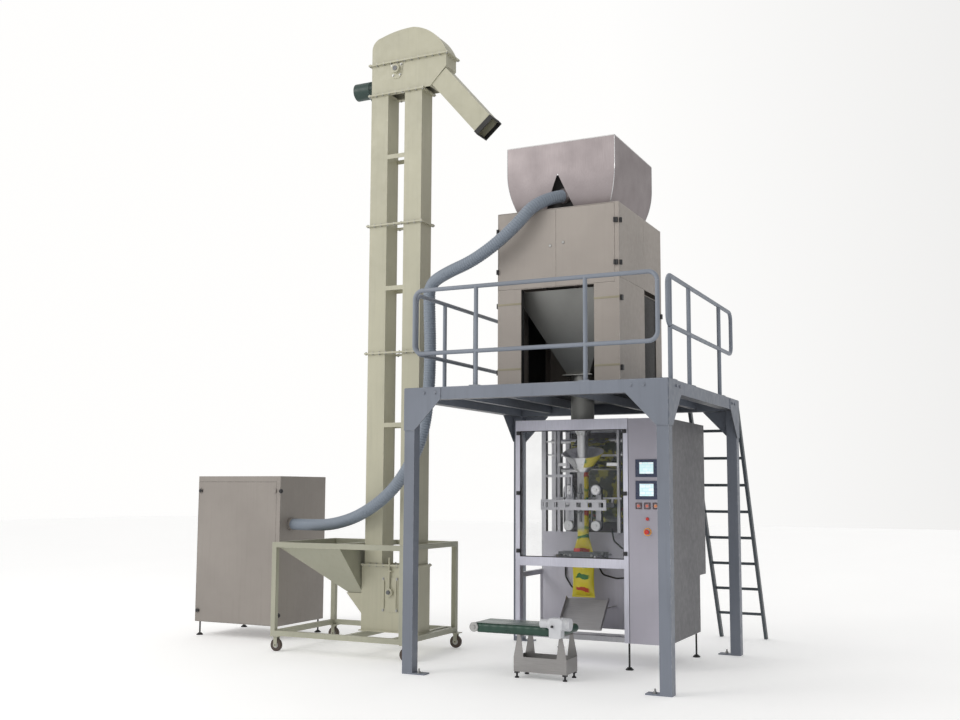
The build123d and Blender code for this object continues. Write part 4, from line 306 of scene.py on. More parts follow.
black_plastic = moulded("black_plastic", (0.012, 0.012, 0.014), 0.42)
black_rubber = moulded("black_rubber", (0.016, 0.015, 0.015), 0.62, 0.002)
hose_plastic = moulded("hose_plastic", (0.20, 0.235, 0.285), 0.40, 0.004, 0.12)
caster_brown = moulded("caster_brown", (0.055, 0.036, 0.026), 0.45)
white_plastic = moulded("white_plastic", (0.70, 0.71, 0.72), 0.35)
screen_navy = moulded("screen_navy", (0.022, 0.034, 0.08), 0.3)
button_coral = moulded("button_coral", (0.58, 0.16, 0.12), 0.3)
button_amber = moulded("button_amber", (0.66, 0.24, 0.10), 0.3)
bezel_maroon = moulded("bezel_maroon", (0.085, 0.045, 0.05), 0.35)


def window_sheet():
    """Clear acrylic, faintly blue and a little dusty."""
    material, tree, shader, place = start_finish("window_sheet")
    shader.inputs["Base Color"].default_value = (0.25, 0.28, 0.31, 1)
    shader.inputs["Roughness"].default_value = 0.04
    smears = levels(tree, speckle(tree, place, 0.25), 0.4, 0.7, 0.05, 0.09)
    tree.links.new(smears, shader.inputs["Alpha"])
    raise_grain(tree, shader, speckle(tree, place, 0.2), 0.0004, 0.15)
    return material


def display():
    """A lit panel of plain tiles."""
    material, tree, shader, place = start_finish("display")
    mapping = tree.nodes.new("ShaderNodeMapping")
    mapping.inputs["Rotation"].default_value = (math.radians(90), 0, 0)
    tree.links.new(place, mapping.inputs["Vector"])
    tiles = tree.nodes.new("ShaderNodeTexBrick")
    tiles.inputs["Scale"].default_value = 1
    tiles.inputs["Brick Width"].default_value = 0.052
    tiles.inputs["Row Height"].default_value = 0.03
    tiles.inputs["Mortar Size"].default_value = 0.003
    tiles.inputs["Color1"].default_value = (0.55, 0.80, 0.80, 1)
    tiles.inputs["Color2"].default_value = (0.80, 0.88, 0.90, 1)
    tiles.inputs["Mortar"].default_value = (0.50, 0.68, 0.76, 1)
    tree.links.new(mapping.outputs["Vector"], tiles.inputs["Vector"])
    tree.links.new(tiles.outputs["Color"], shader.inputs["Base Color"])
    tree.links.new(tiles.outputs["Color"], shader.inputs["Emission Color"])
    shader.inputs["Emission Strength"].default_value = 0.45
    shader.inputs["Roughness"].default_value = 0.12
    return material


clear_window = window_sheet()
lit_display = display()
print("moulded, clear and lit finishes ready")

# %% [markdown]
# ## Printed film and the green belt
#
# The packing film is glossy yellow plastic with a repeating green and red print.  The print here is
# only wavy bands, repeated at the bag length by taking the remainder of the height, so it is
# nobody's design.  The belt is dark green PVC with a fine diamond grip.

# %% Film and belt finishes
bag_low, bag_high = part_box("filled_bag")
tube_centre = (bag_low + bag_high) / 2
bag_pitch = 0.36


def colour_steps(tree, value, stops):
    """Flat colours with hard changes, each from its own stop of a value upwards."""
    steps = tree.nodes.new("ShaderNodeValToRGB")
    steps.color_ramp.interpolation = "CONSTANT"
    while len(steps.color_ramp.elements) < len(stops):
        steps.color_ramp.elements.new(0.5)
    for element, (spot, colour) in zip(steps.color_ramp.elements, stops):
        element.position = spot
        element.color = (*colour, 1)
    tree.links.new(value, steps.inputs["Fac"])
    return steps.outputs["Color"]


def printed_film():
    """Glossy film with generic repeated bands, and painted shade on the film behind the tube."""
    material, tree, shader, place = start_finish("printed_film")
    parts = tree.nodes.new("ShaderNodeSeparateXYZ")
    tree.links.new(place, parts.inputs[0])
    above = sums(tree, "SUBTRACT", parts.outputs["Z"], bag_low.z)
    wavy = sums(tree, "ADD", above, levels(tree, speckle(tree, place, 0.09), 0.3, 0.7, -0.02, 0.02))
    repeat = sums(tree, "FRACT", sums(tree, "DIVIDE", wavy, bag_pitch), 0)
    stops = [(0.0, (0.62, 0.50, 0.02)), (0.16, (0.45, 0.05, 0.02)), (0.27, (0.66, 0.55, 0.03)),
             (0.52, (0.03, 0.16, 0.03)), (0.60, (0.60, 0.52, 0.04)), (0.80, (0.24, 0.33, 0.03)),
             (0.88, (0.64, 0.53, 0.02))]
    bands = colour_steps(tree, repeat, stops)
    side = sums(tree, "ABSOLUTE", sums(tree, "SUBTRACT", parts.outputs["X"], tube_centre.x), 0)
    margin = levels(tree, side, 0.055, 0.075)
    face = blend(tree, margin, bands, (0.62, 0.53, 0.03))
    high = levels(tree, parts.outputs["Z"], 1.20, 1.26)
    forward = levels(tree, parts.outputs["Y"], -0.400, -0.405)
    left_part = levels(tree, parts.outputs["X"], tube_centre.x + 0.030, tube_centre.x + 0.026)
    plain = sums(tree, "MULTIPLY", sums(tree, "MULTIPLY", high, forward), left_part)
    face = blend(tree, plain, face, (0.46, 0.46, 0.47))
    # Painted shade: film behind y -0.36 takes near-black and dark olive colours instead of the yellow bands.
    behind = levels(tree, parts.outputs["Y"], -0.365, -0.355)
    patches = levels(tree, speckle(tree, place, 0.09), 0.50, 0.56)
    shaded_print = blend(tree, patches, (0.03, 0.034, 0.016), (0.26, 0.24, 0.02))
    face = blend(tree, behind, face, shaded_print)
    tree.links.new(face, shader.inputs["Base Color"])
    shader.inputs["Roughness"].default_value = 0.22
    raise_grain(tree, shader, speckle(tree, place, 0.03, (1, 1, 3)), 0.004, 0.5)
    return material


def belt_cover():
    """Green PVC belting with a fine diamond grip."""
    material, tree, shader, place = start_finish("belt_cover")
    cells = tree.nodes.new("ShaderNodeTexVoronoi")
    cells.inputs["Scale"].default_value = 260
    tree.links.new(place, cells.inputs["Vector"])
    scuff = levels(tree, speckle(tree, place, 0.12, (4, 1, 1)), 0.4, 0.7)
    cover = blend(tree, scuff, (0.008, 0.040, 0.026), (0.018, 0.07, 0.045))
    tree.links.new(cover, shader.inputs["Base Color"])
    tree.links.new(levels(tree, scuff, 0, 1, 0.26, 0.42), shader.inputs["Roughness"])
    raise_grain(tree, shader, cells.outputs["Distance"], 0.0005, 0.4)
    return material


def tread_plate():
    """Deck sheet: raised lugs on top, painted shade on its downward faces."""
    material, tree, shader, place = start_finish("tread_plate")
    mapping = tree.nodes.new("ShaderNodeMapping")
    mapping.inputs["Rotation"].default_value = (0, 0, math.radians(45))
    tree.links.new(place, mapping.inputs["Vector"])
    lugs = tree.nodes.new("ShaderNodeTexBrick")
    lugs.inputs["Scale"].default_value = 1
    lugs.inputs["Brick Width"].default_value = 0.045
    lugs.inputs["Row Height"].default_value = 0.02
    lugs.inputs["Mortar Size"].default_value = 0.006
    lugs.inputs["Mortar Smooth"].default_value = 0.6
    tree.links.new(mapping.outputs["Vector"], lugs.inputs["Vector"])
    facing = tree.nodes.new("ShaderNodeSeparateXYZ")
    tree.links.new(tree.nodes.new("ShaderNodeNewGeometry").outputs["Normal"], facing.inputs[0])
    cloudy = levels(tree, speckle(tree, place, 0.4), 0.4, 0.65)
    top = blend(tree, cloudy, (0.21, 0.235, 0.28), (0.14, 0.155, 0.18))
    worn = blend(tree, sums(tree, "MULTIPLY", lugs.outputs["Fac"], -0.35), top, (0.34, 0.36, 0.4))
    # Painted shade: downward faces turn near-black.
    both = blend(tree, levels(tree, facing.outputs["Z"], -0.4, -0.6), worn, (0.035, 0.04, 0.048))
    tree.links.new(both, shader.inputs["Base Color"])
    shader.inputs["Roughness"].default_value = 0.5
    height = sums(tree, "SUBTRACT", 1.0, lugs.outputs["Fac"])
    raise_grain(tree, shader, height, 0.0015, 0.6)
    return material


def shaded_wound_film():
    """Wound film: its bands of print, darkened as painted shade to near-black and dark olive, with a few
    yellow bands along the roll.
    """
    material, tree, shader, place = start_finish("shaded_wound_film")
    blotch = speckle(tree, place, 0.11, (1.6, 1, 1), detail=2)
    # Painted shade: the roll's print colours are darkened to near-black, dark olive, dim yellow and dark red.
    stops = [(0.0, (0.022, 0.026, 0.016)), (0.46, (0.10, 0.11, 0.015)), (0.52, (0.34, 0.30, 0.02)),
             (0.58, (0.03, 0.05, 0.02)), (0.66, (0.16, 0.02, 0.015))]
    tree.links.new(colour_steps(tree, blotch, stops), shader.inputs["Base Color"])
    shader.inputs["Roughness"].default_value = 0.25
    raise_grain(tree, shader, speckle(tree, place, 0.02, (6, 1, 1)), 0.001, 0.4)
    return material


film_print = printed_film()
shaded_roll_print = shaded_wound_film()
belt_green = belt_cover()
deck_tread = tread_plate()
print("film, belt and deck finishes ready")

# %% [markdown]
# ## Dress the design's own nodes
#
# A node whose shape is right stays as it is and only gets its finish.  One table says which node
# wears which finish, so a change of colour is one word in one place.

# %% Give every node its finish
finish_of = {
    "platform_frame": platform_grey, "deck_plate": deck_tread, "guard_rails": rail_grey,
    "access_ladder": ladder_grey, "weigher_cabinet": weigher_beige, "weigher_door_left": weigher_beige,
    "weigher_door_right": weigher_beige, "weigher_side_door": weigher_beige,
    "cabinet_hinges": black_plastic, "supply_hopper": hopper_steel, "weigh_buckets": stainless,
    "bucket_flap_left": stainless, "bucket_flap_right": stainless, "collecting_funnel": funnel_steel,
    "machine_frame": frame_metal, "machine_panels": panel_lilac, "electrical_cabinet": cabinet_slate,
    "cabinet_door": machine_lilac, "touch_screens": screen_navy, "button_start": button_coral,
    "button_stop": button_coral, "button_jog": button_amber, "emergency_stop": alarm_red,
    "door_frame": door_metal, "door_window": clear_window, "forming_tube": turned_steel,
    "forming_collar": turned_steel, "film_roll": shaded_roll_print, "film_rollers": turned_steel,
    "film_web": film_print, "filled_bag": film_print, "belt_carrier": frame_metal,
    "belt_unit_left": frame_metal, "belt_unit_right": frame_metal, "vertical_sealer": jaw_steel,
    "jaw_front": jaw_steel, "jaw_rear": jaw_steel, "bag_chute": chute_steel,
    "machine_cables": black_rubber, "conveyor_stand": stand_steel, "conveyor_belt": belt_green,
    "tail_roller": turned_steel, "drive_roller": turned_steel, "conveyor_motor": motor_white,
    "elevator_casing": elevator_cream, "elevator_head": elevator_cream, "elevator_spout": elevator_cream,
    "elevator_motor": motor_green, "head_pulley": jaw_steel, "boot_pulley": jaw_steel,
    "bucket_belt": black_rubber, "cart_frame": cart_cream, "caster_wheels_left": caster_brown,
    "caster_wheels_right": caster_brown, "intake_hopper": cart_cream, "dust_cabinet": cabinet_beige,
    "dust_door": cabinet_beige, "suction_hose": hose_plastic, "levelling_feet": black_plastic,
}
for name, node in nodes.items():
    node.data.materials.clear()
    node.data.materials.append(finish_of[name])
print("nodes dressed", len(finish_of))

# %% [markdown]
# ## The suction hose
#
# One free hose runs from the hopper's notch, round the corner rail, down the elevator and back to
# the dust cabinet.  Its route is a short list of points, and a NURBS curve through them gives the
# line.  The skin is wire-ribbed plastic, so the tube is a mesh of rings along that line whose radius
# rises and falls with each rib: a bump map would leave its outline straight.

# %% Read the hose's line from its spline
hose_route = [
    (1.648, -0.925, 4.362),
    (1.458, -1.186, 4.300),
    (1.225, -1.274, 4.000),
    (0.855, -1.272, 3.755),
    (0.480, -1.215, 3.655),
    (0.268, -1.120, 3.580),
    (0.255, -1.095, 3.370),
    (0.264, -1.080, 2.960),
    (0.256, -1.088, 2.530),
    (0.215, -1.105, 2.150),
    (0.060, -1.085, 1.840),
    (-0.175, -1.075, 1.550),
    (-0.525, -1.052, 1.335),
    (-0.950, -0.895, 1.238),
    (-1.370, -0.650, 1.222),
    (-1.756, -0.492, 1.221),
]
route = bpy.data.curves.new("hose_route", "CURVE")
route.dimensions = "3D"
route.resolution_u = 64
spline = route.splines.new("NURBS")
spline.points.add(len(hose_route) - 1)
for point, spot in zip(spline.points, hose_route):
    point.co = (*spot, 1)
spline.order_u = 3
spline.use_endpoint_u = True
route_holder = bpy.data.objects.new("hose_route", route)
route_line = bpy.data.meshes.new_from_object(route_holder)
line = np.array([vertex.co for vertex in route_line.vertices])
bpy.data.objects.remove(route_holder)
runs = np.linalg.norm(np.diff(line, axis=0), axis=1)
travel = np.concatenate([[0], np.cumsum(runs)])
print("hose line", round(float(travel[-1]), 3), "m")

# %% Ribbed tube along the line
hose_thick = 0.12
rib_pitch = 0.024
rings_a_rib = 6
rib_depth = 0.0048
ring_points = 26


def join_rings(shape, rings, closed=False):
    """Faces between neighbouring rings, and from the last back to the first if closed."""
    pairs = list(zip(rings[:-1], rings[1:])) + ([(rings[-1], rings[0])] if closed else [])
    for low_ring, high_ring in pairs:
        for n in range(len(low_ring)):
            after = (n + 1) % len(low_ring)
            shape.faces.new((low_ring[n], low_ring[after], high_ring[after], high_ring[n]))


def ribbed_tube(name, spacing):
    """Rings along the hose's line, each round the line's own direction."""
    stations = np.arange(0, travel[-1], spacing)
    stations = np.append(stations[:-1], travel[-1])
    centres = np.stack([np.interp(stations, travel, line[:, axis]) for axis in range(3)], axis=1)
    directions = np.gradient(centres, axis=0)
    directions /= np.linalg.norm(directions, axis=1)[:, None]
    across = Vector((0, 0, 1)).cross(Vector(directions[0])).normalized()
    shape = bmesh.new()
    rings = []
    for station, centre, direction in zip(stations, centres, directions):
        along = Vector(direction)
        across = (across - along * across.dot(along)).normalized()
        up = along.cross(across)
        valley = 0.5 - 0.5 * math.cos(2 * math.pi * station / rib_pitch)
        radius = hose_thick / 2 - rib_depth * valley ** 1.5
        rings.append([shape.verts.new(Vector(centre) + across * radius * math.cos(angle)
                                      + up * radius * math.sin(angle))
                      for angle in np.linspace(0, 2 * math.pi, ring_points, endpoint=False)])
    join_rings(shape, rings)
    mesh = bpy.data.meshes.new(name)
    shape.to_mesh(mesh)
    shape.free()
    mesh.shade_smooth()
    return mesh, centres


hose_mesh, hose_centres = ribbed_tube("ribbed_hose", rib_pitch / rings_a_rib)
hose = bpy.data.objects.new("ribbed_hose", hose_mesh)
bpy.context.scene.collection.objects.link(hose)
hose_mesh.materials.append(hose_plastic)
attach(hose, "frame")
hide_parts("suction_hose")
print("hose rings", len(hose_centres))

# %% [markdown]
# ## Small shapes used again and again
#
# Bolts, knobs, caps and strips are all one of two shapes: a block with its edges rounded off, or a
# turned piece, whose outline of radius and height is spun round an axis as on a lathe.  Real edges
# are never perfectly sharp, and the small rounding is what catches the light.

# %% Rounded blocks and turned pieces
def add_block(shape, low, high, edge=0.001):
    """Block between two corners, with rounded edges."""
    low, high = Vector(low), Vector(high)
    made = bmesh.ops.create_cube(shape, size=1)["verts"]
    size = high - low
    for vertex in made:
        vertex.co = (low + high) / 2 + Vector(vertex.co[axis] * size[axis] for axis in range(3))
    edges = {e for vertex in made for e in vertex.link_edges}
    width = min(edge, min(size) * 0.4)
    bmesh.ops.bevel(shape, geom=list(edges), offset=width, segments=2, affect="EDGES", profile=0.6)


def add_turned(shape, centre, axis, outline, steps=28):
    """Spins an outline of (radius, height) round an axis from a centre."""
    spot = Matrix.Translation(centre) @ Vector(axis).to_track_quat("Z", "Y").to_matrix().to_4x4()
    rings = []
    for radius, height in outline:
        count = steps if radius > 1e-6 else 1
        rings.append([shape.verts.new(spot @ Vector((radius * math.cos(2 * math.pi * n / count),
                                                     radius * math.sin(2 * math.pi * n / count), height)))
                      for n in range(count)])
    for low_ring, high_ring in zip(rings[:-1], rings[1:]):
        for n in range(steps):
            corners = [low_ring[n % len(low_ring)], low_ring[(n + 1) % len(low_ring)],
                       high_ring[(n + 1) % len(high_ring)], high_ring[n % len(high_ring)]]
            corners = list(dict.fromkeys(corners))
            if len(corners) > 2:
                shape.faces.new(corners)


def add_bolt(shape, centre, axis, across=0.024, tall=0.010):
    """Washer and chamfered hexagon head."""
    washer = 0.0025
    add_turned(shape, centre, axis, [(0, 0), (across * 0.85, 0), (across * 0.85, washer), (0, washer)], 20)
    head = [(0, washer), (across * 0.56, washer), (across * 0.57, tall * 0.85), (across * 0.48, tall),
            (0, tall)]
    add_turned(shape, centre, axis, head, 6)


def finish_piece(name, shape, body, finish):
    """Turns a built shape into a named piece that rides on a body."""
    bmesh.ops.recalc_face_normals(shape, faces=shape.faces)
    mesh = bpy.data.meshes.new(name)
    shape.to_mesh(mesh)
    shape.free()
    mesh.shade_smooth()
    mesh.set_sharp_from_angle(angle=math.radians(32))
    mesh.materials.append(finish)
    piece = bpy.data.objects.new(name, mesh)
    bpy.context.scene.collection.objects.link(piece)
    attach(piece, body)
    return piece


def blocks_piece(name, boxes, body, finish, edge=0.001):
    """One piece made of several rounded blocks."""
    shape = bmesh.new()
    for low, high in boxes:
        add_block(shape, low, high, edge)
    return finish_piece(name, shape, body, finish)


def turned_piece(name, places, axis, outline, body, finish, steps=28):
    """One piece made of the same turned shape at several places."""
    shape = bmesh.new()
    for place in places:
        add_turned(shape, place, axis, outline, steps)
    return finish_piece(name, shape, body, finish)


def bolts_piece(name, places, axis, body, across=0.024, tall=0.010, finish=zinc):
    """A row of bolt heads."""
    shape = bmesh.new()
    for place in places:
        add_bolt(shape, place, axis, across, tall)
    return finish_piece(name, shape, body, finish)


print("shape helpers ready")

# %% [markdown]
# ## Hose ends
#
# Each end is held by a steel worm-drive band over the collar.  A band is a short turned ring on the
# hose's own direction at that end, with a small screw housing on it.

# %% Hose bands
def hose_band(name, centre, direction, radius):
    """Steel band with its screw housing."""
    shape = bmesh.new()
    half, outside = 0.007, radius + 0.002
    ring = [(radius, -half), (outside, -half), (outside, half), (radius, half), (radius, -half)]
    add_turned(shape, centre, direction, ring, 40)
    up = Vector(direction).orthogonal().normalized()
    hub = Vector(centre) + up * (radius + 0.007)
    add_block(shape, hub - Vector((0.012, 0.009, 0.006)), hub + Vector((0.012, 0.009, 0.006)), 0.002)
    return finish_piece(name, shape, "frame", turned_steel)


first_run = (Vector(hose_route[1]) - Vector(hose_route[0])).normalized()
last_run = (Vector(hose_route[-2]) - Vector(hose_route[-1])).normalized()
collar_radius = 0.0688
band_top = hose_band("hose_band_hopper", Vector(hose_route[0]) + first_run * 0.05, first_run, collar_radius)
band_low = hose_band("hose_band_cabinet", Vector(hose_route[-1]) + last_run * 0.035, last_run, collar_radius)
print("hose bands fitted")

# %% [markdown]
# ## Platform: anchors
#
# Each foot plate is held to the floor by one expansion anchor: a washer, a nut and the end of its
# stud.

# %% Floor anchors
platform_low, platform_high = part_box("platform_frame")
anchor_inset = 0.160
leg_half = 0.050
foot_sheet = 0.012
gusset_proud = 0.008
leg_left = platform_low.x + gusset_proud
leg_right = platform_high.x - gusset_proud
leg_front = platform_low.y + gusset_proud
leg_rear = platform_high.y - gusset_proud
anchor_spots = [Vector((x, y, foot_sheet)) for x in (leg_left + anchor_inset, leg_right - anchor_inset)
                for y in (leg_front + leg_half, leg_rear - leg_half)]
anchors = bmesh.new()
for spot in anchor_spots:
    add_bolt(anchors, spot, (0, 0, 1), 0.026, 0.016)
    add_turned(anchors, spot, (0, 0, 1), [(0.008, 0.0), (0.008, 0.034), (0.006, 0.037), (0, 0.037)], 16)
finish_piece("floor_anchors", anchors, "frame", zinc)
print("anchors", len(anchor_spots))

# %% [markdown]
# ## Weigher: bands, locks and screws
#
# The front columns are closed by slip-on covers with a narrow khaki joint strip near the top and
# bottom.  The upper doors have small quarter-turn locks by their meeting edges, and rows of flat
# screws hold the covers.

# %% Weigher trim
weigher_low, weigher_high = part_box("weigher_cabinet")
left_door_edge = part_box("weigher_door_left")[1].x
right_door_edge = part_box("weigher_door_right")[0].x
column_wide = 0.240
strip_tall = 0.020
strip_proud = 0.002
face_y = weigher_low.y
band_boxes = []
for z in (weigher_low.z + 0.204, weigher_low.z + 0.816):
    for x0 in (weigher_low.x, weigher_high.x - column_wide):
        for y0, y1 in ((face_y - strip_proud, face_y + 0.001),
                       (weigher_high.y - 0.001, weigher_high.y + strip_proud)):
            band_boxes.append(((x0 - 0.001, y0, z), (x0 + column_wide, y1, z + strip_tall)))
blocks_piece("column_strips", band_boxes, "frame", khaki_band)

lock_outline = [(0, 0), (0.014, 0), (0.014, 0.004), (0.010, 0.007), (0.003, 0.007), (0.003, 0.004),
                (0, 0.004)]
lock_height = 3.850
turned_piece("left_door_lock", [(left_door_edge - 0.055, face_y, lock_height)], (0, -1, 0),
             lock_outline, "weigher_door_left", zinc)
turned_piece("right_door_lock", [(right_door_edge + 0.07, face_y, lock_height + 0.02)], (0, -1, 0),
             lock_outline, "weigher_door_right", zinc)

screw_outline = [(0, 0), (0.007, 0), (0.0065, 0.002), (0.004, 0.003), (0, 0.003)]
screw_inset = 0.018
screw_places = [(x, face_y, z) for x in (weigher_low.x + screw_inset,
                                         weigher_low.x + column_wide - screw_inset,
                                         weigher_high.x - screw_inset,
                                         weigher_high.x - column_wide + screw_inset)
                for z in np.linspace(weigher_low.z + 0.06, weigher_low.z + 0.9, 5)]
turned_piece("column_screws", screw_places, (0, -1, 0), screw_outline, "frame", weigher_beige, steps=12)
print("weigher trim", len(band_boxes), "strips", len(screw_places), "screws")

# %% [markdown]
# The opening has a dark upright edge beside each column, where the folded return lies in shade.
# A thin black sheet on each return is painted shade that gives it.  The black rubber flap that
# closes the hopper's notch behind the hose is a guess.

# %% Painted shade on the column returns, and the notch flap
return_deep = 0.060
return_shade_boxes = []
for x_edge, side in ((weigher_low.x, 1), (weigher_high.x, -1)):
    x_face = x_edge + side * (column_wide + 0.0005)
    x_back = x_face + side * 0.003
    return_shade_boxes.append(((min(x_face, x_back), face_y + 0.004, weigher_low.z + 0.004),
                         (max(x_face, x_back), face_y + 0.004 + return_deep, weigher_low.z + 0.955)))
# Painted shade: thin black sheets on the columns' inner returns.
blocks_piece("column_return_shade", return_shade_boxes, "frame", black_rubber)

notch_x = 1.582
notch_flap_half = 0.17
flap_y = -0.935
notch_flap_box = ((notch_x - notch_flap_half, flap_y, weigher_high.z + 0.004),
                  (notch_x + notch_flap_half, flap_y + 0.006, weigher_high.z + 0.37))
blocks_piece("notch_flap", [notch_flap_box], "frame", black_rubber)
print("linings fitted")

# %% [markdown]
# The tall slot in the right wall looks black, and what makes it so on the real weigher isn't
# known.  Two thin black sheets just inside the side walls make it black here.  They close the slot
# in this visual model, where the imported design leaves it open.

# %% Black sheets behind the side slots
slot_y0, slot_y1 = weigher_low.y + 0.730, weigher_low.y + 1.125
slot_sheet_top = weigher_low.z + 1.000
slot_sheet_boxes = []
slot_sheet_lap = 0.020
for x_sheet in (weigher_high.x - 0.010, weigher_low.x + 0.0065):
    slot_sheet_boxes.append(((x_sheet, slot_y0 - slot_sheet_lap, weigher_low.z + 0.006),
                          (x_sheet + 0.003, slot_y1 + slot_sheet_lap, slot_sheet_top - 0.045)))
# Two thin black sheets that make the slot read black.
blocks_piece("slot_black_sheets", slot_sheet_boxes, "frame", black_rubber)
print("curtains hung")

# %% [markdown]
# ## Hopper: wired rim and welds
#
# A hopper's sheet edge is rolled round a wire, so the mouth is stiff and has no raw edge.  The four
# corners are closed by a ground weld that follows the body's curve: straight at the top, then an
# arc in to the base.  The arc's radius comes from how far it goes in over how far it drops.

# %% Hopper rim and corner welds
fill_x, fill_y = 1.607, -0.475
hopper_middle = Vector((fill_x, fill_y, 0))
half_wide, half_deep = 0.541, 0.5685
base_half_wide, base_half_deep = 0.450, 0.480
hopper_foot = weigher_high.z
hopper_bend = hopper_foot + 0.403
hopper_top = hopper_foot + 0.653


def curved_half(z, top_half, base_half):
    """Half the body's width at a height."""
    if z >= hopper_bend:
        return top_half
    drop = hopper_bend - hopper_foot
    inward = top_half - base_half
    radius = (drop ** 2 + inward ** 2) / (2 * inward)
    down = hopper_bend - z
    return top_half - radius + math.sqrt(radius ** 2 - down ** 2)


def add_wire(shape, points, radius, steps=10):
    """Round wire along a chain of points."""
    points = [Vector(p) for p in points]
    rings = []
    for index, point in enumerate(points):
        before = points[max(index - 1, 0)]
        after = points[min(index + 1, len(points) - 1)]
        along = (after - before).normalized()
        across = along.cross(Vector((0.3, 0.2, 0.9))).normalized()
        up = along.cross(across)
        rings.append([shape.verts.new(point + across * radius * math.cos(2 * math.pi * n / steps)
                                      + up * radius * math.sin(2 * math.pi * n / steps))
                      for n in range(steps)])
    join_rings(shape, rings)
    shape.faces.new(rings[0])
    shape.faces.new(rings[-1][::-1])


rim = bmesh.new()
rim_inset = 0.004
rim_x, rim_y, rim_z = half_wide - rim_inset, half_deep - rim_inset, hopper_top - 0.003
rim_corners = [hopper_middle + Vector((sx * rim_x, sy * rim_y, rim_z))
               for sx, sy in ((-1, -1), (1, -1), (1, 1), (-1, 1))]
for start, end in zip(rim_corners, rim_corners[1:] + rim_corners[:1]):
    add_wire(rim, [start, end], 0.006)
finish_piece("hopper_rim_wire", rim, "frame", stainless)

welds = bmesh.new()
weld_sunk = 0.001
bend_heights = list(np.linspace(hopper_foot + 0.03, hopper_bend, 14))
weld_heights = [hopper_foot + 0.004] + bend_heights + [hopper_top - 0.006]
for sx in (-1, 1):
    for sy in (-1, 1):
        chain = []
        for z in weld_heights:
            weld_x = sx * (curved_half(z, half_wide, base_half_wide) - weld_sunk)
            weld_y = sy * (curved_half(z, half_deep, base_half_deep) - weld_sunk)
            chain.append(hopper_middle + Vector((weld_x, weld_y, z)))
        add_wire(welds, chain, 0.0035)
finish_piece("hopper_corner_welds", welds, "frame", turned_steel)
print("hopper rim and welds done")

# %% [markdown]
# ## Operator's door
#
# On the narrow right-hand door sit two touch displays in navy bezels, three square push-button
# surrounds, a small lamp and the emergency stop in its amber ring.  The buttons themselves are the
# design's own moving nodes, so only what surrounds them is added, and it all rides on the door.

# %% Displays, surrounds, lamp and ring
screens_low, screens_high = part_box("touch_screens")
display_boxes = []
for z0, z1 in ((1.718, 1.876), (1.518, 1.683)):
    display_boxes.append(((screens_low.x + 0.038, screens_low.y - 0.0012, z0 + 0.030),
                          (screens_high.x - 0.044, screens_low.y + 0.001, z1 - 0.026)))
blocks_piece("display_faces", display_boxes, "control_door", lit_display, 0.0005)

panel_y = -0.830
surround = bmesh.new()
outer, inner = 0.029, 0.0205
surround_sides = ((-outer, outer, inner, outer), (-outer, outer, -outer, -inner),
                  (-outer, -inner, -inner, inner), (inner, outer, -inner, inner))
for name in ("button_start", "button_stop", "button_jog"):
    low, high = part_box(name)
    centre = (low + high) / 2
    for x0, x1, z0, z1 in surround_sides:
        add_block(surround, (centre.x + x0, panel_y - 0.007, centre.z + z0),
                  (centre.x + x1, panel_y + 0.001, centre.z + z1), 0.001)
finish_piece("button_surrounds", surround, "control_door", bezel_maroon)

control_x = (screens_low.x + screens_high.x) / 2
lamp_z, stop_z = 1.344, 1.229
lamp_outline = [(0.0132, 0), (0.0150, 0.002), (0.0150, 0.010), (0.0125, 0.0155), (0.007, 0.018), (0, 0.019)]
turned_piece("signal_lamp_lens", [(control_x, panel_y, lamp_z)], (0, -1, 0), lamp_outline, "control_door",
             alarm_red)
ring_outline = [(0.0275, 0), (0.036, 0), (0.0355, 0.0045), (0.032, 0.0075), (0.0275, 0.0075), (0.0275, 0)]
turned_piece("stop_ring", [(control_x, panel_y, stop_z)], (0, -1, 0), ring_outline, "control_door",
             amber_ring, 40)
print("operator's door fitted")

# %% [markdown]
# ## Glazed door
#
# Six black corner blocks clamp the door's frame, and a black gasket runs round the window where it
# meets the metal.

# %% Corner blocks and gasket
frame_low, frame_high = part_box("door_frame")
window_low, window_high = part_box("door_window")
block_half = 0.0185
block_heights = (2.134, 1.569, 1.030)
corner_blocks = []
for z in block_heights:
    for x in (frame_low.x + 0.030, frame_high.x - 0.030):
        corner_blocks.append(((x - block_half, panel_y - 0.014, z - block_half),
                              (x + block_half, panel_y + 0.0005, z + block_half)))
blocks_piece("door_corner_blocks", corner_blocks, "machine_door", black_plastic, 0.004)

gasket_wide = 0.008
gasket_boxes = []
for z0, z1 in ((window_low.z, window_low.z + gasket_wide), (window_high.z - gasket_wide, window_high.z)):
    gasket_boxes.append(((window_low.x, window_low.y - 0.004, z0), (window_high.x, window_low.y, z1)))
for x0, x1 in ((window_low.x, window_low.x + gasket_wide), (window_high.x - gasket_wide, window_high.x)):
    gasket_boxes.append(((x0, window_low.y - 0.004, window_low.z), (x1, window_low.y, window_high.z)))
blocks_piece("window_gasket", gasket_boxes, "machine_door", black_rubber)
print("glazed door fitted")

# %% [markdown]
# ## Film on the forming shoulder
#
# Flat film rises over the shoulder's crest and dives down inside it, which turns it into a tube.
# The film lies on the shoulder's outside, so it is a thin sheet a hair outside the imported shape,
# left open at the front where the bright edge of the shoulder shows as a V.

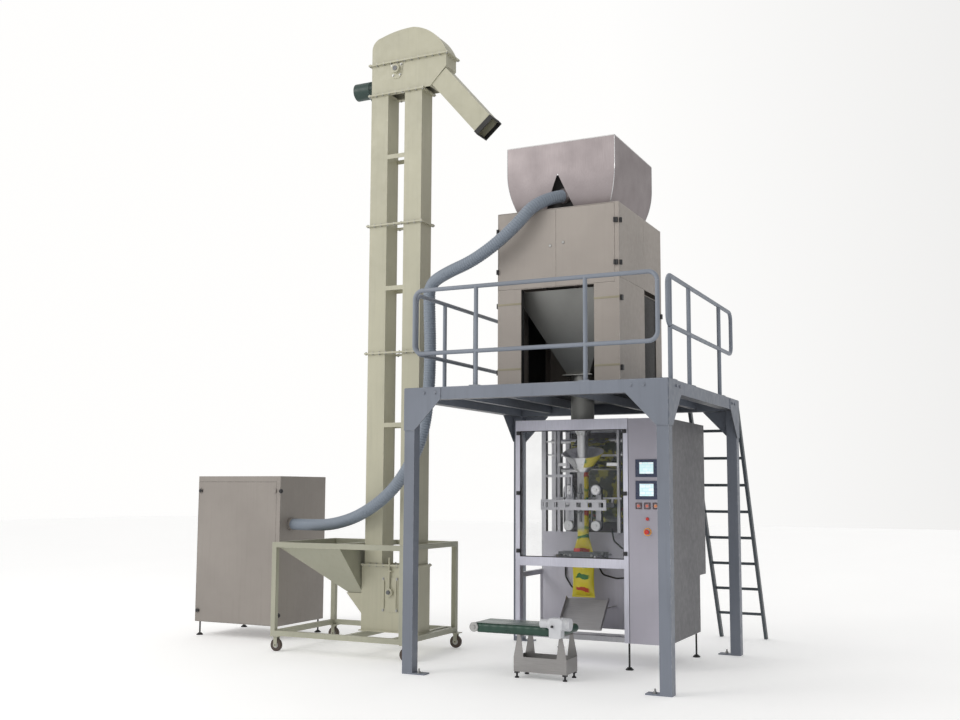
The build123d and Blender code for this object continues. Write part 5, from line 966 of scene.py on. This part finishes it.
# %% Film over the shoulder
shoulder_base = 1.770
shoulder_rise = 0.190
film_radius = 0.0605
lip_y = -0.455
lip_half_wide = 0.209
lip_half_deep = 0.124
lip_level_share, lip_rise_share = 0.866, 0.5
film_over = bmesh.new()
film_columns = []
front_open = math.radians(16)
for angle in np.linspace(-math.pi / 2 + front_open, 1.5 * math.pi - front_open, 44):
    column = []
    for share in np.linspace(0.30, 1.0, 9):
        foot = Vector((fill_x + film_radius * math.cos(angle), fill_y + film_radius * math.sin(angle),
                       shoulder_base))
        lip = Vector((fill_x + lip_half_wide * math.cos(angle),
                      lip_y + lip_half_deep * lip_level_share * math.sin(angle),
                      shoulder_base + shoulder_rise + lip_half_deep * lip_rise_share * math.sin(angle)))
        column.append(film_over.verts.new(foot.lerp(lip, share)))
    film_columns.append(column)


def join_columns(shape, columns):
    """Faces between neighbouring columns of points, open at both ends."""
    for left, after in zip(columns[:-1], columns[1:]):
        for n in range(len(left) - 1):
            shape.faces.new((left[n], after[n], after[n + 1], left[n + 1]))


join_columns(film_over, film_columns)
shoulder_film = finish_piece("shoulder_film", film_over, "frame", film_print)
shoulder_skin = shoulder_film.modifiers.new("thickness", "SOLIDIFY")
shoulder_skin.thickness = 0.0012
shoulder_skin.offset = 1
print("shoulder film", len(film_columns), "columns")

# %% [markdown]
# Behind the forming parts the machine lies in shade.  A thin near-black sheet just in front of the
# imported rear cover is painted shade that gives it.

# %% Painted shade inside the rear cover
rear_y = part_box("machine_panels")[1].y
shade_sheet_box = ((1.112, rear_y - 0.0065, 0.832), (2.126, rear_y - 0.0035, 2.198))
# Painted shade: a near-black sheet just inside the rear cover.
blocks_piece("rear_cover_shade_sheet", [shade_sheet_box], "frame", inner_shadow)
print("rear cover coated")

# %% [markdown]
# ## The filled bag
#
# A filled bag is a pillow: fattest low in the middle, flat at its two crimped seals, and creased
# where the film gathers in from the corners.  Each side is a grid whose depth is the product of a
# curve across and a curve down, with a few gathers near the seals.

# %% Pillow bag with crimped seals
bag_wide = bag_high.x - bag_low.x
bag_tall = bag_high.z - bag_low.z
bag_deep = (bag_high.y - bag_low.y) / 2
seal_tall = 0.018
bag_shape = bmesh.new()
bag_columns, bag_rows = 30, 44


def bag_point(across, down, side):
    """A point on the front or back of the pillow."""
    z = bag_low.z + bag_tall * down
    between_seals = (down * bag_tall - seal_tall) / (bag_tall - 2 * seal_tall)
    belly = max(0.0, math.sin(math.pi * min(1, max(0, between_seals))))
    sag = belly ** 0.62 * (1.12 - 0.35 * down)
    arch = max(0.0, 1 - abs(2 * across - 1) ** 2.4) ** 0.8
    gather = 0.0022 * math.sin(across * 34) * (1 - belly) * (0 if belly == 0 else 1)
    crimp = 0.0008 * math.sin(z * 2600) if belly == 0 else 0
    depth = max(0.0012, 0.93 * bag_deep * sag * arch + gather) + crimp
    narrow = 1 - 0.09 * belly ** 0.7
    x = tube_centre.x + (across - 0.5) * bag_wide * narrow
    return Vector((x, tube_centre.y + side * min(depth, bag_deep), z))


for side in (-1, 1):
    grid = [[bag_shape.verts.new(bag_point(c / bag_columns, r / bag_rows, side))
             for c in range(bag_columns + 1)]
            for r in range(bag_rows + 1)]
    for r in range(bag_rows):
        for c in range(bag_columns):
            corners = (grid[r][c], grid[r][c + 1], grid[r + 1][c + 1], grid[r + 1][c])
            bag_shape.faces.new(corners if side < 0 else corners[::-1])
bmesh.ops.remove_doubles(bag_shape, verts=bag_shape.verts, dist=0.00005)
bag = finish_piece("pillow_bag", bag_shape, "frame", film_print)
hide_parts("filled_bag")
print("bag", round(bag_wide, 3), "by", round(bag_tall, 3))

# %% [markdown]
# ## Belts, discs and jaws
#
# White nylon caps cover the lower belt pulleys, black rubber runs round each pair, and the front
# jaw carries a red block, taken to be its heater's terminals.

# %% Pull-down belt dress
belt_low_z, belt_high_z = 1.263, 1.600
disc_offset = 0.138
cap_outline = [(0.047, 0), (0.047, 0.005), (0.041, 0.009), (0.030, 0.009), (0.028, 0.006), (0.012, 0.006),
               (0.010, 0.014), (0, 0.014)]
steel_outline = [(0.040, 0), (0.040, 0.004), (0.014, 0.005), (0.012, 0.012), (0, 0.012)]
outside, inside = 0.0545, 0.0500
cover_front, cover_rear = -0.4955, -0.4545
for body, side in (("belt_unit_left", -1), ("belt_unit_right", 1)):
    front_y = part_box(body)[0].y
    centre_x = fill_x + side * disc_offset
    turned_piece(body + "_white_cap", [(centre_x, front_y, belt_low_z)], (0, -1, 0), cap_outline, body,
                 white_plastic, 40)
    turned_piece(body + "_steel_cap", [(centre_x, front_y, belt_high_z)], (0, -1, 0), steel_outline, body,
                 turned_steel, 40)
    cover = bmesh.new()
    loop = []
    for z_mid, start in ((belt_high_z, 0), (belt_low_z, math.pi)):
        for n in range(17):
            angle = start + math.pi * n / 16
            loop.append((math.cos(angle), math.sin(angle), z_mid))
    rows = []
    for dx, dz, z_mid in loop:
        rows.append([cover.verts.new((centre_x + dx * r, y, z_mid + dz * r))
                     for r, y in ((outside, cover_front), (outside, cover_rear),
                                  (inside, cover_rear), (inside, cover_front))])
    join_rings(cover, rows, closed=True)
    finish_piece(body + "_rubber", cover, body, black_rubber)

jaw_low, jaw_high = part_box("jaw_front")
terminal_z = jaw_high.z
blocks_piece("jaw_terminal_block", [((1.535, jaw_low.y + 0.004, terminal_z - 0.004),
                                     (1.600, jaw_low.y + 0.022, terminal_z + 0.032))], "jaw_front", alarm_red,
             0.003)
jaw_bolt_places = [(x, jaw_low.y, 0.985) for x in (1.440, 1.500, 1.714, 1.774)]
bolts_piece("jaw_bolts", jaw_bolt_places, (0, -1, 0), "jaw_front", 0.014, 0.008)
print("belts and jaws dressed")

# %% [markdown]
# ## Take-off belt's gearmotor
#
# The white gearmotor has bolted end flanges, a cooled motor barrel and a cable gland.  The fins are
# thin discs close together, turned in one outline that steps in and out.

# %% Gearmotor dress
def cooling_fins(start, length, count, root, tip):
    """Outline that steps out from root to tip radius and back, once for each fin."""
    outline = []
    for n in range(count):
        at = start + length * n / count
        step = length / count / 2
        outline += [(root, at), (tip, at), (tip, at + step), (root, at + step)]
    return outline


motor_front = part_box("conveyor_motor")[0].y
bed_side_y = -1.680
gear_out = 0.045
gear_y = bed_side_y - gear_out
motor_axis_z = 0.486
fin_start, fin_end = 0.062, 0.112
fin_outline = cooling_fins(fin_start, fin_end - fin_start, 8, 0.0505, 0.0540)
turned_piece("gearmotor_fins", [(1.845, gear_y, motor_axis_z)], (1, 0, 0), fin_outline, "frame", motor_white,
             36)
flange_bolts = []
bolt_circle = 0.036
for n in range(6):
    angle = math.radians(60 * n + 30)
    flange_bolts.append((1.767, gear_y + bolt_circle * math.cos(angle),
                         motor_axis_z + bolt_circle * math.sin(angle)))
bolts_piece("gearmotor_bolts", flange_bolts, (-1, 0, 0), "frame", 0.009, 0.006)
gland_outline = [(0.012, 0), (0.012, 0.010), (0.009, 0.012), (0.009, 0.022), (0.005, 0.024), (0, 0.024)]
turned_piece("gearmotor_gland", [(1.820, motor_front, 0.470)], (0, -1, 0), gland_outline, "frame",
             black_plastic, 6)
print("gearmotor dressed")

# %% [markdown]
# From the front the whole depth of the bed looks green.  Side skirts that hang from the belt over
# both sides of the bed are a guess that gives this face, and so is the round steel boss at the end
# where the tail roller's bearing would sit.

# %% Belt skirts and tail bosses
belt_box_low, belt_box_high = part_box("conveyor_belt")
skirt_x0, skirt_x1 = belt_box_low.x + 0.075, belt_box_high.x - 0.125
skirts = bmesh.new()
skirt_waves = 60
for y_skirt, side in ((belt_box_low.y - 0.0095, -1), (belt_box_high.y + 0.0095, 1)):
    columns = []
    for n in range(skirt_waves + 1):
        x = skirt_x0 + (skirt_x1 - skirt_x0) * n / skirt_waves
        ripple = 0.0015 * math.sin(n * 0.9)
        columns.append([skirts.verts.new((x, y_skirt + side * (ripple + out), z))
                        for z, out in ((belt_box_high.z - 0.004, 0.0), (belt_box_high.z - 0.030, 0.003),
                                       (belt_box_low.z + 0.010, 0.004), (belt_box_low.z - 0.006, 0.001))])
    join_columns(skirts, columns)
belt_skirts = finish_piece("belt_skirts", skirts, "frame", belt_green)
skirt_skin = belt_skirts.modifiers.new("thickness", "SOLIDIFY")
skirt_skin.thickness = 0.002
boss_outline = [(0.0, 0.0), (0.042, 0.0), (0.042, 0.012), (0.036, 0.016), (0.018, 0.016), (0.016, 0.024),
                (0.0, 0.024)]
boss_place = (1.050, belt_box_low.y - 0.0085, 0.416)
turned_piece("tail_bosses", [boss_place], (0, -1, 0), boss_outline, "frame", zinc, 36)
print("belt skirts", len(columns), "columns a side")

# %% [markdown]
# ## Bucket elevator: flange bolts, sleeve and motor fins
#
# The casing comes in lengths bolted flange to flange, so each flange has a row of bolts along both
# long sides.  A black rubber sleeve on the spout keeps grain from bouncing out.

# %% Flange bolts
leg_x0, leg_x1 = -0.547, 0.051
leg_y0, leg_y1 = -0.920, -0.700
head_longer = 0.275
flange_lip = 0.014
flange_pair = 0.016
flange_rows = [(z, leg_x1, 9) for z in (0.845, 2.960, 4.280, 5.662)] + [(5.990, leg_x1 + head_longer, 12)]
bolt_places = []
for z, x_end, bolts_along in flange_rows:
    for x in np.linspace(leg_x0 - flange_lip, x_end + flange_lip, bolts_along):
        for y in (leg_y0 - flange_lip, leg_y1 + flange_lip):
            bolt_places.append((x, y, z + flange_pair))
elevator_bolts = bmesh.new()
for x, y, z in bolt_places:
    add_bolt(elevator_bolts, (x, y, z), (0, 0, 1), 0.014, 0.009)
    add_bolt(elevator_bolts, (x, y, z - flange_pair), (0, 0, -1), 0.014, 0.009)
finish_piece("casing_bolts", elevator_bolts, "frame", zinc)
print("casing bolts", len(bolt_places))

# %% Rubber sleeve on the spout
spout_angle = math.radians(49)
spout_ahead = Vector((math.cos(spout_angle), 0, -math.sin(spout_angle)))
spout_up = Vector((math.sin(spout_angle), 0, math.cos(spout_angle)))
spout_start = Vector((0.236, -0.810, 5.774))
sleeve_from, sleeve_to = 0.751, 0.801
sleeve_half_y, sleeve_half_up = 0.107, 0.1145
sleeve_thick = 0.012
sleeve = bmesh.new()
sleeve_rows = []
for along, shrink in ((sleeve_from, 0), (sleeve_to, 0), (sleeve_to, sleeve_thick),
                      (sleeve_to - 0.04, sleeve_thick)):
    centre = spout_start + spout_ahead * along
    ring = []
    for sy, su in ((-1, -1), (1, -1), (1, 1), (-1, 1)):
        ring.append(sleeve.verts.new(centre + Vector((0, sy * (sleeve_half_y - shrink), 0))
                                     + spout_up * su * (sleeve_half_up - shrink)))
    sleeve_rows.append(ring)
join_rings(sleeve, sleeve_rows)
finish_piece("spout_sleeve", sleeve, "frame", black_rubber)
print("sleeve fitted")

# %% Elevator motor fins and bearing bolts
shaft_x = -0.248
head_shaft_z = 5.917
barrel_x0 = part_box("elevator_motor")[0].x + 0.195
gear_plate, barrel_out, barrel_drop = 0.042, 0.080, 0.030
barrel_y = leg_y1 + gear_plate + barrel_out
barrel_z = head_shaft_z - barrel_drop
barrel_outline = cooling_fins(0, 0.200, 14, 0.083, 0.090)
turned_piece("elevator_motor_fins", [(barrel_x0, barrel_y, barrel_z)], (1, 0, 0), barrel_outline, "frame",
             motor_green, 40)
bearing_bolts = []
for dx, dz in ((-0.055, 0.045), (0.055, 0.045), (-0.040, -0.062), (0.040, -0.062)):
    bearing_bolts.append((shaft_x + dx, leg_y0 - 0.006, head_shaft_z + dz))
bolts_piece("bearing_bolts", bearing_bolts, (0, -1, 0), "frame", 0.016, 0.010)
tension_bolts = [(shaft_x + dx, leg_y0 - 0.011, z) for dx in (-0.074, 0.080) for z in (0.418, 0.722)]
bolts_piece("tensioner_bolts", tension_bolts, (0, -1, 0), "frame", 0.016, 0.010)
print("elevator motor and bearings dressed")

# %% [markdown]
# ## Cart and dust cabinet
#
# The casters get steel hubs, and the dust cabinet's door gets its black quarter-turn knobs.  These
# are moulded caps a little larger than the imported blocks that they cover, and they ride on the door.

# %% Caster hubs and cabinet knobs
hub_outline = [(0.030, 0), (0.028, 0.0015), (0.012, 0.002), (0, 0.002)]
for body in ("caster_wheels_left", "caster_wheels_right"):
    low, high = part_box(body)
    wheel_x = (low.x + high.x) / 2
    wheel_z = (low.z + high.z) / 2
    hubs = bmesh.new()
    for y_wheel in (-1.278, -0.255):
        for side in (-1, 1):
            add_turned(hubs, (wheel_x, y_wheel + side * 0.0172, wheel_z), (0, side, 0), hub_outline, 24)
    finish_piece(body + "_hubs", hubs, body, zinc)

dust_low, dust_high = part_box("dust_cabinet")
knob_outline = [(0.024, 0), (0.024, 0.008), (0.018, 0.012), (0.018, 0.020), (0.015, 0.023), (0, 0.023)]
knob_places = [(x, dust_low.y, z) for x in (dust_low.x + 0.034, dust_high.x - 0.069) for z in (1.575, 0.268)]
turned_piece("cabinet_knobs", knob_places, (0, -1, 0), knob_outline, "dust_door", black_plastic,
             24)
print("hubs and knobs fitted")

# %% [markdown]
# ## Floor and light
#
# The line stands on a plain pale floor.  The room is one soft gradient: brighter on the left,
# darker on the right, which leaves the right-hand sides of every box in half shade.  One
# large soft lamp from the front left adds gentle highlights.

# %% Floor, room and lamp
floor_mesh = bpy.data.meshes.new("floor")
floor_reach = 40.0
floor_mesh.from_pydata([(-floor_reach, -floor_reach, 0), (floor_reach, -floor_reach, 0),
                        (floor_reach, floor_reach, 0), (-floor_reach, floor_reach, 0)], [], [(0, 1, 2, 3)])
floor_finish, floor_tree, floor_shader, floor_place = start_finish("pale_floor")
floor_tone = levels(floor_tree, speckle(floor_tree, floor_place, 1.5), 0.3, 0.7)
floor_tree.links.new(blend(floor_tree, floor_tone, (0.90, 0.90, 0.90), (0.87, 0.87, 0.87)),
                     floor_shader.inputs["Base Color"])
floor_shader.inputs["Roughness"].default_value = 0.75
floor_shader.inputs["Emission Color"].default_value = (1, 1, 1, 1)
floor_shader.inputs["Emission Strength"].default_value = 0.22
floor_mesh.materials.append(floor_finish)
floor = bpy.data.objects.new("floor", floor_mesh)
bpy.context.scene.collection.objects.link(floor)

room = bpy.data.worlds.new("soft_room")
bpy.context.scene.world = room
room.use_nodes = True
room_tree = room.node_tree
sky = room_tree.nodes["Background"]
heading = room_tree.nodes.new("ShaderNodeTexCoord").outputs["Generated"]
axes = room_tree.nodes.new("ShaderNodeSeparateXYZ")
room_tree.links.new(heading, axes.inputs[0])
sideways = levels(room_tree, axes.outputs["X"], -0.3, 0.95, 1.0, 0.42)
sky.inputs["Color"].default_value = (1.0, 0.995, 0.985, 1)
room_tree.links.new(sideways, sky.inputs["Strength"])


def soft_lamp(name, spot, aim, size, power, colour):
    """Square area lamp aimed at a point."""
    data = bpy.data.lights.new(name, "AREA")
    data.size = size
    data.energy = power
    data.color = colour
    lamp = bpy.data.objects.new(name, data)
    lamp.location = spot
    lamp.rotation_euler = (Vector(aim) - Vector(spot)).to_track_quat("-Z", "Y").to_euler()
    bpy.context.scene.collection.objects.link(lamp)


soft_lamp("front_left_lamp", (-7.0, -11.0, 9.0), (0.3, -0.5, 2.6), 6.0, 420, (1.0, 0.98, 0.95))
bpy.context.scene.view_settings.view_transform = "Standard"
print("floor, room and lamp ready")
